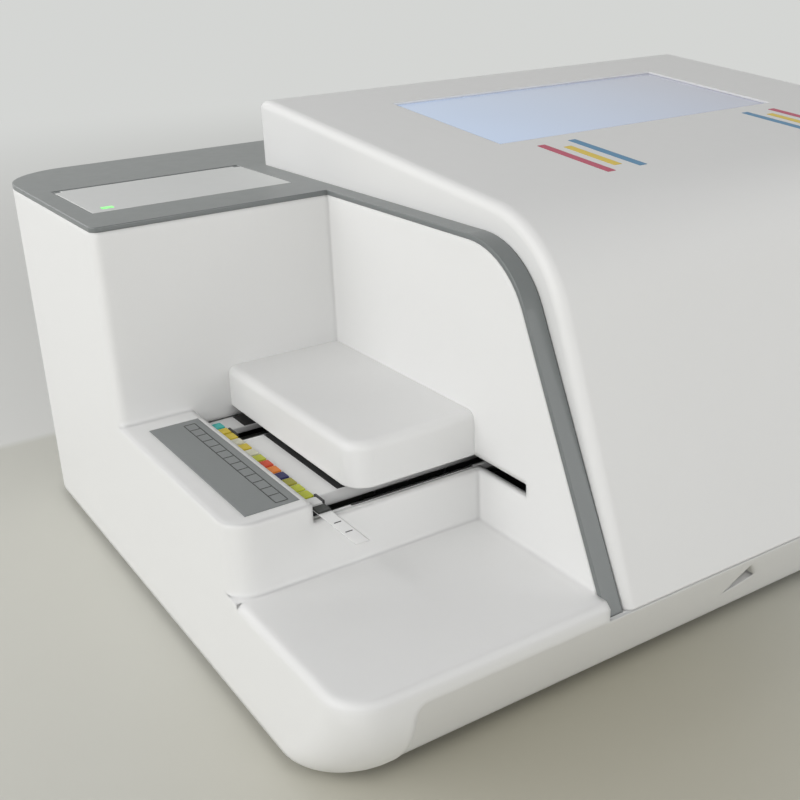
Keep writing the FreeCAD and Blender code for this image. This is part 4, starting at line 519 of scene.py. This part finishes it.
def row_tree():
    """A straight row of flat blocks with round corners and a crowned top."""
    group = bpy.data.node_groups.new("block_row", "GeometryNodeTree")
    for name, kind, default in ROW_INPUTS:
        made = group.interface.new_socket(name, in_out="INPUT", socket_type=kind)
        if default is not None:
            made.default_value = default
    group.interface.new_socket("Geometry", in_out="OUTPUT", socket_type="NodeSocketGeometry")
    t = Tree(group)
    take, give = t.add("NodeGroupInput").outputs, t.add("NodeGroupOutput").inputs
    frame = t.add(
        "GeometryNodeCurvePrimitiveQuadrilateral", {"Width": take["Width"], "Height": take["Length"]}
    )
    bend = t.add(
        "GeometryNodeFilletCurve",
        {
            "Curve": frame.outputs[0], "Count": BEND_STEPS, "Radius": take["Corner"], "Limit Radius": True,
        },
        mode="POLY",
    )
    sheet = t.add("GeometryNodeFillCurve", {"Curve": bend.outputs[0]}, mode="NGONS")
    underside = t.add("GeometryNodeFlipFaces", {"Mesh": sheet.outputs[0]})
    crown = t.math("MULTIPLY", take["Height"], take["Crown"])
    wall = t.math("SUBTRACT", take["Height"], crown)
    raised = t.add("GeometryNodeExtrudeMesh", {"Mesh": sheet.outputs[0], "Offset Scale": wall}, mode="FACES")
    dome = t.add(
        "GeometryNodeExtrudeMesh",
        {"Mesh": raised.outputs["Mesh"], "Selection": raised.outputs["Top"], "Offset Scale": crown},
        mode="FACES",
    )
    inset = t.math("SUBTRACT", 1.0, t.math("DIVIDE", t.math("MULTIPLY", crown, 2.0), take["Length"]))
    drawn = t.add(
        "GeometryNodeScaleElements",
        {"Geometry": dome.outputs["Mesh"], "Selection": dome.outputs["Top"], "Scale": inset}, domain="FACE",
    )
    closed = t.add("GeometryNodeJoinGeometry")
    for part in (underside, drawn):
        t.tree.links.new(part.outputs[0], closed.inputs[0])
    block = t.add("GeometryNodeMergeByDistance", {"Geometry": closed.outputs[0], "Distance": WELD})
    places = {"Count": take["Count"], "Start Location": take["First"], "Offset": take["Step"]}
    line = t.add("GeometryNodeMeshLine", places)
    row = t.add("GeometryNodeInstanceOnPoints", {"Points": line.outputs[0], "Instance": block.outputs[0]})
    real = t.add("GeometryNodeRealizeInstances", {"Geometry": row.outputs[0]})
    done = t.add("GeometryNodeSetMaterial", {"Geometry": real.outputs[0], "Material": take["Finish"]})
    t.feed(give["Geometry"], done.outputs[0])
    return group


def row_of_blocks(name, count, step, first, size, corner, crown, finish):
    """A row from the block_row tree, turned into a plain mesh."""
    tree = bpy.data.node_groups.get("block_row") or row_tree()
    piece = bpy.data.objects.new(name, bpy.data.meshes.new(name + "_source"))
    bpy.context.scene.collection.objects.link(piece)
    modifier = piece.modifiers.new("Row", "NODES")
    modifier.node_group = tree
    figures = (count, step, first, size[0], size[1], size[2], corner, crown, finish)
    sockets = {item.name: item.identifier for item in tree.interface.items_tree if item.in_out == "INPUT"}
    for (label, _, _), value in zip(ROW_INPUTS, figures):
        modifier[sockets[label]] = value
    bpy.context.view_layer.update()
    ready = piece.evaluated_get(bpy.context.evaluated_depsgraph_get())
    mesh = bpy.data.meshes.new_from_object(ready)
    piece.modifiers.clear()
    piece.data = mesh
    mesh.name = name
    return piece


# ---------------------------------------------------------------- operators


class ANALYZER_OT_case(bpy.types.Operator):
    """Finish the white shells, the gray trim and the small outside pieces"""

    bl_idname = "analyzer.case"
    bl_label = "Finish the case"

    def execute(self, context):
        finish = settings("finish")
        white, gloss = finish.white, finish.case_roughness
        tray = {"Mottle": 0.025, "Edge": finish.soft_edge}
        dress_mouldings(
            ("case_white", white, gloss, {"Mottle": 0.025}, ("console_cover", "strip_hood", "drawer_front")),
            ("housing_white", white, gloss, tray, ("main_housing",)),
            ("deck_white", white, 0.38, {"Mottle": 0.02}, ("strip_deck",)),
            ("base_gray", (0.20, 0.21, 0.21), 0.5, {"Mottle": 0.06, "Dust": 0.06}, ("base_plate",)),
            ("lid_gray", finish.lid, 0.33, {}, ("printer_lid",)),
            ("label_film", finish.label, 0.30, {"Mottle": 0.05}, ("label_plate",)),
            ("drawer_white", (0.72, 0.72, 0.70), 0.48, {"Dust": 0.12}, ("waste_drawer",)),
            ("chute_gray", (0.35, 0.36, 0.37), 0.45, {}, ("strip_chute",)),
            ("foot_rubber", (0.03, 0.03, 0.03), 0.75, {"Dust": 0.15}, ("rubber_feet",)),
        )
        satin = {"Grain Depth": 0.03, "Mottle": 0.015, "Dust": 0.01}
        dress(moulded("trim_gray", finish.trim, 0.26, satin, IOR=1.65), "gray_trim", "printer_tub")
        lens, t, shader = new_material("status_lens")
        haze = t.noise(t.here(), 900.0)
        glow = t.ramp(haze, [(0.2, (0.10, 0.85, 0.12)), (0.8, (0.30, 1.0, 0.25))])
        t.fill(shader, {
            "Base Color": glow, "Roughness": 0.3, "Emission Color": glow, "Emission Strength": 0.9,
        })
        dress(lens, "status_light")
        return {"FINISHED"}


class ANALYZER_OT_stripes(bpy.types.Operator):
    """Print the two sets of coloured stripes on the sloping top"""

    bl_idname = "analyzer.stripes"
    bl_label = "Print the stripes"

    # Each stripe: where it starts and ends in Y.
    SPANS = {"red": (-0.0757, -0.0344), "yellow": (-0.0701, -0.0407), "blue": (-0.0750, -0.0337)}
    CORNER, CORNER_STEPS = 0.0003, 3

    def execute(self, context):
        marks = settings("marks")
        slope = SlopingTop("console_cover")
        for number, (name, span) in enumerate(self.SPANS.items()):
            shade = tuple(getattr(marks, name))
            ink = surfaced("ink_" + name, "moulded", {
                "Color": shade, "Roughness": 0.35, "Grain Size": 0.0004, "Grain Depth": 0.2, "Dust": 0.02,
            })
            work = bmesh.new()
            left = marks.stripe_middle + (number - 1) * marks.stripe_pitch
            for middle in (left, 2 * marks.mirror - left):
                x = (middle - marks.stripe_width / 2, middle + marks.stripe_width / 2)
                outline = rounded_outline(x, span, self.CORNER, self.CORNER_STEPS)
                prism(work, outline, slope.lift, marks.film)
            piece_from(work, "stripes_" + name, "analyzer_body", ink)
        return {"FINISHED"}


class ANALYZER_OT_label(bpy.types.Operator):
    """Print the long divided outline on the label beside the strip"""

    bl_idname = "analyzer.label"
    bl_label = "Print the label"

    ACROSS = (0.62, 0.86)  # sides of the outline, as shares of the label's width
    AHEAD, BEHIND = 0.0025, 0.0040  # bare film left before and after the outline
    CORNER, INNER_CORNER = 0.0006, 0.0003

    def execute(self, context):
        marks = settings("marks")
        low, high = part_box("label_plate")
        ink = moulded("ink_dark", (0.055, 0.06, 0.06), 0.4, {"Mottle": 0.02})
        x = tuple(low.x + (high.x - low.x) * part for part in self.ACROSS)
        y = (low.y + self.AHEAD, high.y - self.BEHIND)
        outlines = frame_outlines((x[0], y[0]), (x[1], y[1]), marks.line, self.CORNER, self.INNER_CORNER)
        work = bmesh.new()
        ring_prism(work, *outlines, level(high.z), marks.film)
        piece_from(work, "label_outline", "analyzer_body", ink)
        pitch = (y[1] - y[0]) / (marks.divisions + 1)
        bars = row_of_blocks(
            "label_divisions", marks.divisions, (0, pitch, 0), (sum(x) / 2, y[0] + pitch, high.z),
            (x[1] - x[0] - 2 * marks.line, marks.line, marks.film), marks.line / 4, FLAT, ink,
        )
        ridden(bars, "analyzer_body")
        return {"FINISHED"}


class ANALYZER_OT_screen(bpy.types.Operator):
    """Light the touch screen with a plain picture"""

    bl_idname = "analyzer.screen"
    bl_label = "Light the screen"

    CORNER, INNER_CORNER, GASKET_THICK = 0.0012, 0.0008, 0.0003
    HAZE, HAZE_DARKEST, HAZE_SPAN = 14.0, 0.95, 0.1
    PIXELS, PIXEL_RELIEF = 4000.0, 0.02

    def execute(self, context):
        screen = settings("screen")
        made, t, shader = new_material("screen_lit")
        where = t.here()
        low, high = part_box("touch_screen")
        across = t.spread(t.axis(where, "X"), low.x, high.x)
        glow = t.ramp(across, [(0, tuple(screen.left)), (1, tuple(screen.right))])
        haze = t.noise(where, self.HAZE, 1.0)
        picture = t.tinted(t.swing(self.HAZE_DARKEST, haze, self.HAZE_SPAN), glow)
        pixels = t.noise(where, self.PIXELS, 0.0)
        t.fill(shader, {
            "Base Color": picture, "Roughness": 0.12, "Emission Color": picture,
            "Emission Strength": screen.glow, "Coat Weight": 0.6, "Coat Roughness": 0.05,
            "Normal": t.bump(pixels, self.PIXEL_RELIEF),
        })
        dress(made, "touch_screen")
        # The dark rim round the glass is painted shade: it stands for the shadow of the recess wall.
        work = bmesh.new()
        outlines = frame_outlines(low, high, screen.gasket, self.CORNER, self.INNER_CORNER)
        ring_prism(work, *outlines, SlopingTop("touch_screen").lift, self.GASKET_THICK)
        rubber = moulded("gasket_gray", (0.07, 0.075, 0.085), 0.5, {"Mottle": 0.04})
        piece_from(work, "screen_gasket", "analyzer_body", rubber)
        return {"FINISHED"}


class ANALYZER_OT_strip(bpy.types.Operator):
    """Lay the reagent pads and the printed marks on the test strip"""

    bl_idname = "analyzer.strip"
    bl_label = "Dress the test strip"

    DYES = {
        "cyan": (0.05, 0.48, 0.44), "yellow": (0.72, 0.56, 0.05), "pale": (0.72, 0.71, 0.56),
        "lime": (0.52, 0.56, 0.04), "red": (0.68, 0.07, 0.02), "orange": (0.85, 0.24, 0.03),
        "navy": (0.015, 0.015, 0.10), "olive": (0.36, 0.34, 0.04), "white": (0.75, 0.75, 0.74),
        "black": (0.025, 0.028, 0.025),
    }
    ROW = (
        "black", "white", "lime", "lime", "olive", "navy", "orange", "red", "lime", "pale", "yellow",
        "pale", "yellow", "yellow", "cyan",
    )
    CAD_GAP = 0.18  # gap between two pads of the CAD row, as a share of their pitch
    STROKES, STROKE, STROKE_CORNER = 2, (0.0026, 0.0005), 0.0001
    STROKE_PITCH, STROKE_SETBACK = 0.0075, 0.0165

    def execute(self, context):
        marks = settings("marks")
        low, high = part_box("reagent_pads")
        pitch = (high.y - low.y) / (len(self.ROW) - self.CAD_GAP)
        made, t, shader = new_material("pad_dyes")
        start = low.y - pitch * self.CAD_GAP / 2
        along = t.spread(t.axis(t.here(), "Y"), start, start + pitch * len(self.ROW))
        stops = [(n / len(self.ROW), self.DYES[name]) for n, name in enumerate(self.ROW)]
        t.cover(shader, "fibre", {"Color": t.ramp(along, stops, "CONSTANT")})
        t.fill(shader, {"Sheen Weight": 0.15})
        size = Vector((high.x - low.x, pitch * marks.pad_share, high.z - low.z))
        first = ((low.x + high.x) / 2, low.y + size.y / 2, low.z)
        pads = row_of_blocks(
            "dyed_pads", len(self.ROW), (0, pitch, 0), first, size, marks.pad_corner, CROWNED, made
        )
        ridden(pads, "shuttle")
        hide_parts("reagent_pads")
        dress(moulded("strip_film", (0.86, 0.86, 0.85), 0.22, {"Mottle": 0.01}), "test_strip")
        self.strokes(marks)
        return {"FINISHED"}

    def strokes(self, marks):
        """Two short cross strokes printed on the handle's end, a plain this-way-in mark."""
        low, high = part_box("test_strip")
        ink = moulded("strip_ink", (0.05, 0.05, 0.05), 0.5, {"Mottle": 0.02})
        bars = row_of_blocks(
            "strip_strokes", self.STROKES, (0, -self.STROKE_PITCH, 0),
            ((low.x + high.x) / 2, low.y + self.STROKE_SETBACK, high.z),
            (*self.STROKE, marks.film), self.STROKE_CORNER, FLAT, ink,
        )
        ridden(bars, "shuttle")


class ANALYZER_OT_lining(bpy.types.Operator):
    """Lay black film on the deck under the reader's hood and in its slots, as painted shade for the dark gap
    under the hood
    """

    bl_idname = "analyzer.lining"
    bl_label = "Line the deck"

    OUTSIDE, TABLE_RISE, CORNER, CORNER_STEPS = 0.0006, 0.0025, 0.0004, 2
    # Each band: where it starts and ends in Y, and how far it lies below the deck's top.
    BANDS = ((-0.0711, -0.0123, 0.0), (-0.0810, -0.0800, TABLE_RISE), (0.0058, 0.0176, TABLE_RISE))

    def execute(self, context):
        hood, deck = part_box("strip_hood"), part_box("strip_deck")
        # The black film is painted shade: it darkens the deck and the slots where the hood's shade falls.
        film = moulded("lining_black", (0.012, 0.012, 0.013), 0.6, {"Mottle": 0.05})
        x = (hood[0].x - self.OUTSIDE, hood[1].x)
        work = bmesh.new()
        for front, rear, drop in self.BANDS:
            outline = rounded_outline(x, (front, rear), self.CORNER, self.CORNER_STEPS)
            prism(work, outline, level(deck[1].z - drop), settings("marks").film)
        piece_from(work, "deck_lining", "analyzer_body", film)
        return {"FINISHED"}


class ANALYZER_OT_mechanism(bpy.types.Operator):
    """Finish the rods, gears, motors, brackets and printer parts"""

    bl_idname = "analyzer.mechanism"
    bl_label = "Finish the mechanism"

    SHEET = ("transport_frame", "reader_frame", "display_bracket", "drawer_bay")
    MOTORS = ("drive_motor", "reader_motor", "printer_motor")
    GEARS = ("shuttle_rack", "drive_pinion", "platen_gear", "printer_idler", "printer_motor_gear")
    BRIGHT = (0.74, 0.74, 0.75)
    HAZE, HAZE_ROUGHNESS, ACRYLIC = 700.0, 0.12, 1.49

    def execute(self, context):
        dress_metals(
            ("sheet_zinc", (0.60, 0.61, 0.62), 0.30, (90, 700, 700), 0.15, self.SHEET),
            ("ground_x", self.BRIGHT, 0.10, (900, 60, 60), 0.05, ("guide_rods", "lid_hinge_pin")),
            ("ground_y", self.BRIGHT, 0.10, (60, 900, 60), 0.05, ("reader_rods", "reader_screw")),
            ("screw_plate", (0.52, 0.52, 0.53), 0.28, (500, 500, 90), 0.15, ("case_screws",)),
            ("head_sink", (0.50, 0.50, 0.50), 0.35, (500, 80, 500), 0.15, ("print_head",)),
        )
        dress_mouldings(
            ("motor_black", (0.03, 0.03, 0.032), 0.38, {"Mottle": 0.08}, self.MOTORS),
            ("acetal", (0.80, 0.79, 0.74), 0.30, {"Mottle": 0.02}, self.GEARS),
            ("shuttle_black", (0.02, 0.02, 0.022), 0.45, {}, ("strip_shuttle",)),
            ("head_black", (0.035, 0.035, 0.038), 0.55, {}, ("reading_head", "display_module")),
            ("platen_rubber", (0.025, 0.025, 0.025), 0.6, {"Dust": 0.1}, ("platen_roller",)),
            ("spindle_gray", (0.35, 0.36, 0.37), 0.4, {}, ("roll_spindle",)),
        )
        dress(surfaced("roll_paper", "fibre", {"Color": (0.86, 0.86, 0.83), "Fibre": 0.0004}), "paper_roll")
        self.clear("lens_clear", "reader_lens", (0.75, 0.85, 0.9))
        self.clear("led_clear", "reader_leds", (0.9, 0.95, 0.8))
        return {"FINISHED"}

    def clear(self, name, node, tint):
        """Clear acrylic with a faint haze."""
        made, t, shader = new_material(name)
        rough = t.math("MULTIPLY", t.noise(t.here(), self.HAZE), self.HAZE_ROUGHNESS)
        t.fill(shader, {
            "Base Color": tint, "Roughness": rough, "Transmission Weight": 0.9, "IOR": self.ACRYLIC,
        })
        dress(made, node)


class ANALYZER_OT_electronics(bpy.types.Operator):
    """Finish the board, the power supply and the rear sockets"""

    bl_idname = "analyzer.electronics"
    bl_label = "Finish the electronics"

    MASK, MASK_LIGHT, TRACKS = (0.02, 0.15, 0.06), (0.03, 0.19, 0.08), (0.10, 0.36, 0.16)
    TRACK_HEIGHT, TRACK_RELIEF = 0.00005, 0.3
    LACQUER = 300.0  # patches a metre

    def execute(self, context):
        dress_metals(
            ("supply_cage", (0.66, 0.67, 0.68), 0.32, (80, 600, 600), 0.15, ("power_supply",)),
            ("port_shell", (0.64, 0.64, 0.65), 0.22, (500, 90, 500), 0.15, ("serial_port", "usb_port")),
        )
        sockets = ("power_inlet", "switch_frame", "power_rocker")
        dress_mouldings(("socket_black", (0.022, 0.022, 0.024), 0.42, {"Dust": 0.08}, sockets))
        made, t, shader = new_material("board_mask")
        where = t.here()
        tracks = t.add("ShaderNodeTexBrick", {
            "Vector": where, "Color1": self.MASK, "Color2": self.MASK_LIGHT, "Mortar": self.TRACKS,
            "Scale": 240.0, "Mortar Size": 0.03, "Brick Width": 2.6, "Row Height": 0.5,
        }).outputs
        fine = t.noise(where, self.LACQUER, 3.0)
        t.fill(shader, {
            "Base Color": t.tinted(t.swing(0.85, fine, 0.3), tracks["Color"]),
            "Roughness": t.swing(0.25, fine, 0.2),
            "Normal": t.bump(tracks["Fac"], self.TRACK_RELIEF, self.TRACK_HEIGHT),
        })
        dress(made, "main_board")
        return {"FINISHED"}


def seen_directly(t):
    """1 for rays from the camera, a mirror-like surface or clear glass, 0 for scattered light."""
    path = t.add("ShaderNodeLightPath").outputs
    seen = path["Is Camera Ray"]
    for ray in ("Is Glossy Ray", "Is Transmission Ray"):
        seen = t.math("MAXIMUM", seen, path[ray])
    return seen


class ANALYZER_OT_studio(bpy.types.Operator):
    """Build the floor, the soft lights and the camera"""

    bl_idname = "analyzer.studio"
    bl_label = "Build the studio"

    # Each soft box: the setting that holds its power, its place, its width and height.
    LAMPS = {
        "soft_left": ("side", (-1.3, -0.1, 0.75), (1.4, 1.1)),
        "soft_front": ("front", (0.2, -1.6, 0.5), (1.6, 0.8)),
        "soft_back": ("back", (-0.7, 1.4, 0.9), (1.4, 1.0)),
        "soft_right": ("right", (1.5, -0.3, 0.6), (1.2, 0.9)),
    }
    AIM = (0, 0, 0.08)  # the point that every soft box faces
    HALF_FLOOR, LINE_BLUR = 4, 0.004
    CLOUDS, CLOUD_DARKEST, CLOUD_SPAN = 3.0, 0.98, 0.04
    # Painted shadow on the floor: darkest at the heart round the middle, gone at the edge.
    POOL_MIDDLE, POOL_EDGE, POOL_HEART = (-0.09, -0.15, 0), 0.17, 0.02
    SMOOTH = {"interpolation_type": "SMOOTHSTEP"}
    SENSOR_WIDTH, NEAREST = 36, 0.01

    def execute(self, context):
        studio = settings("studio")
        self.floor(studio)
        self.sky(studio)
        for name, (power, location, size) in self.LAMPS.items():
            self.soft_box(name, getattr(studio, power), location, size)
        self.camera(studio)
        return {"FINISHED"}

    def soft_box(self, name, watts, location, size):
        light = bpy.data.lights.new(name, "AREA")
        light.shape = "RECTANGLE"
        light.size, light.size_y = size
        light.energy = watts
        lamp = bpy.data.objects.new(name, light)
        lamp.location = location
        lamp.rotation_mode = "QUATERNION"
        lamp.rotation_quaternion = (Vector(self.AIM) - Vector(location)).to_track_quat("-Z", "Y")
        bpy.context.scene.collection.objects.link(lamp)

    def floor(self, studio):
        """A pale floor with a painted shadow in front of the object, which fades to the backdrop far away.
        """
        work = bmesh.new()
        bmesh.ops.create_grid(work, x_segments=1, y_segments=1, size=self.HALF_FLOOR)
        data = bpy.data.meshes.new("floor")
        work.to_mesh(data)
        work.free()
        made, t, shader = new_material("floor_pale")
        where = t.here()
        back = t.spread(t.axis(where, "Y"), studio.line - self.LINE_BLUR, studio.line + self.LINE_BLUR)
        cloud = t.noise(where, self.CLOUDS, 2.0)
        near = t.tinted(t.swing(self.CLOUD_DARKEST, cloud, self.CLOUD_SPAN), tuple(studio.floor))
        # Painted shadow: the floor darkens towards the object's front.
        apart = t.add("ShaderNodeVectorMath", {0: where, 1: self.POOL_MIDDLE}, operation="DISTANCE")
        pool = t.spread(apart.outputs["Value"], self.POOL_EDGE, self.POOL_HEART, **self.SMOOTH)
        pale = t.blend(pool, near, tuple(studio.pool))
        t.fill(shader, {"Base Color": t.blend(back, pale, tuple(studio.far_floor)), "Roughness": 0.45})
        reach = t.add("ShaderNodeVectorMath", {0: where}, operation="LENGTH").outputs["Value"]
        faded = t.spread(reach, studio.near_reach, studio.far_reach, **self.SMOOTH)
        paint = t.add("ShaderNodeEmission", {"Color": tuple(studio.backdrop)})
        mixed = t.add("ShaderNodeMixShader", {
            0: t.math("MULTIPLY", faded, seen_directly(t)), 1: shader.outputs[0], 2: paint.outputs[0],
        })
        t.feed(t.tree.nodes["Material Output"].inputs["Surface"], mixed.outputs[0])
        data.materials.append(made)
        floor = bpy.data.objects.new("floor", data)
        bpy.context.scene.collection.objects.link(floor)

    @staticmethod
    def sky(studio):
        """Even light all round, with the pale backdrop where it is seen."""
        world = bpy.data.worlds.new("studio_sky")
        world.use_nodes = True
        world.node_tree.nodes.clear()
        t = Tree(world.node_tree)
        light = t.add("ShaderNodeBackground", {"Color": (1.0, 1.0, 1.0), "Strength": studio.sky})
        paint = t.add("ShaderNodeBackground", {"Color": tuple(studio.backdrop), "Strength": 1.0})
        both = t.add("ShaderNodeMixShader", {0: seen_directly(t), 1: light.outputs[0], 2: paint.outputs[0]})
        t.add("ShaderNodeOutputWorld", {"Surface": both.outputs[0]})
        bpy.context.scene.world = world

    def camera(self, studio):
        yaw, pitch, roll = studio.yaw, studio.pitch, studio.roll
        ahead = Vector(
            (math.sin(yaw) * math.cos(pitch), math.cos(yaw) * math.cos(pitch), -math.sin(pitch))
        )
        across = Vector((math.cos(yaw), -math.sin(yaw), 0))
        upward = across.cross(ahead)
        right = math.cos(roll) * across + math.sin(roll) * upward
        upward = math.cos(roll) * upward - math.sin(roll) * across
        camera = bpy.data.cameras.new("camera")
        camera.lens = studio.lens
        camera.sensor_width = self.SENSOR_WIDTH
        camera.clip_start = self.NEAREST
        eye = bpy.data.objects.new("camera", camera)
        turn = Matrix((right, upward, -ahead)).transposed().to_4x4()
        eye.matrix_world = Matrix.Translation(Vector(studio.eye)) @ turn
        bpy.context.scene.collection.objects.link(eye)
        bpy.context.scene.camera = eye


class ANALYZER_PT_panel(bpy.types.Panel):
    """The building steps, in order"""

    bl_idname = "ANALYZER_PT_panel"
    bl_label = "Analyzer"
    bl_space_type = "VIEW_3D"
    bl_region_type = "UI"
    bl_category = "Analyzer"

    def draw(self, context):
        for step in STEPS:
            self.layout.operator(step.bl_idname)
        for name in SETTINGS:
            box = self.layout.box()
            box.label(text=name.capitalize())
            group = settings(name)
            for prop in group.bl_rna.properties:
                if prop.identifier not in ("rna_type", "name"):
                    box.prop(group, prop.identifier)


SETTINGS = {
    "finish": AnalyzerFinish, "marks": AnalyzerMarks, "screen": AnalyzerScreen, "studio": AnalyzerStudio,
}
STEPS = (
    ANALYZER_OT_case, ANALYZER_OT_stripes, ANALYZER_OT_label, ANALYZER_OT_screen, ANALYZER_OT_strip,
    ANALYZER_OT_lining, ANALYZER_OT_mechanism, ANALYZER_OT_electronics, ANALYZER_OT_studio,
)
CLASSES = (*SETTINGS.values(), *STEPS, ANALYZER_PT_panel)


def register():
    for item in CLASSES:
        bpy.utils.register_class(item)
    for name, group in SETTINGS.items():
        setattr(bpy.types.Scene, "analyzer_" + name, PointerProperty(type=group))


def unregister():
    for name in SETTINGS:
        delattr(bpy.types.Scene, "analyzer_" + name)
    for item in reversed(CLASSES):
        bpy.utils.unregister_class(item)


def clear_scene():
    for item in list(bpy.data.objects):
        bpy.data.objects.remove(item)


def main():
    clear_scene()
    FRAME.update(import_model())
    register()
    for step in STEPS:
        family, action = step.bl_idname.split(".")
        result = getattr(getattr(bpy.ops, family), action)()
        if result != {"FINISHED"}:
            raise RuntimeError(f"{step.bl_idname} stopped early")
    bpy.context.scene.view_settings.view_transform = "Standard"


if __name__ == "__main__":
    main()
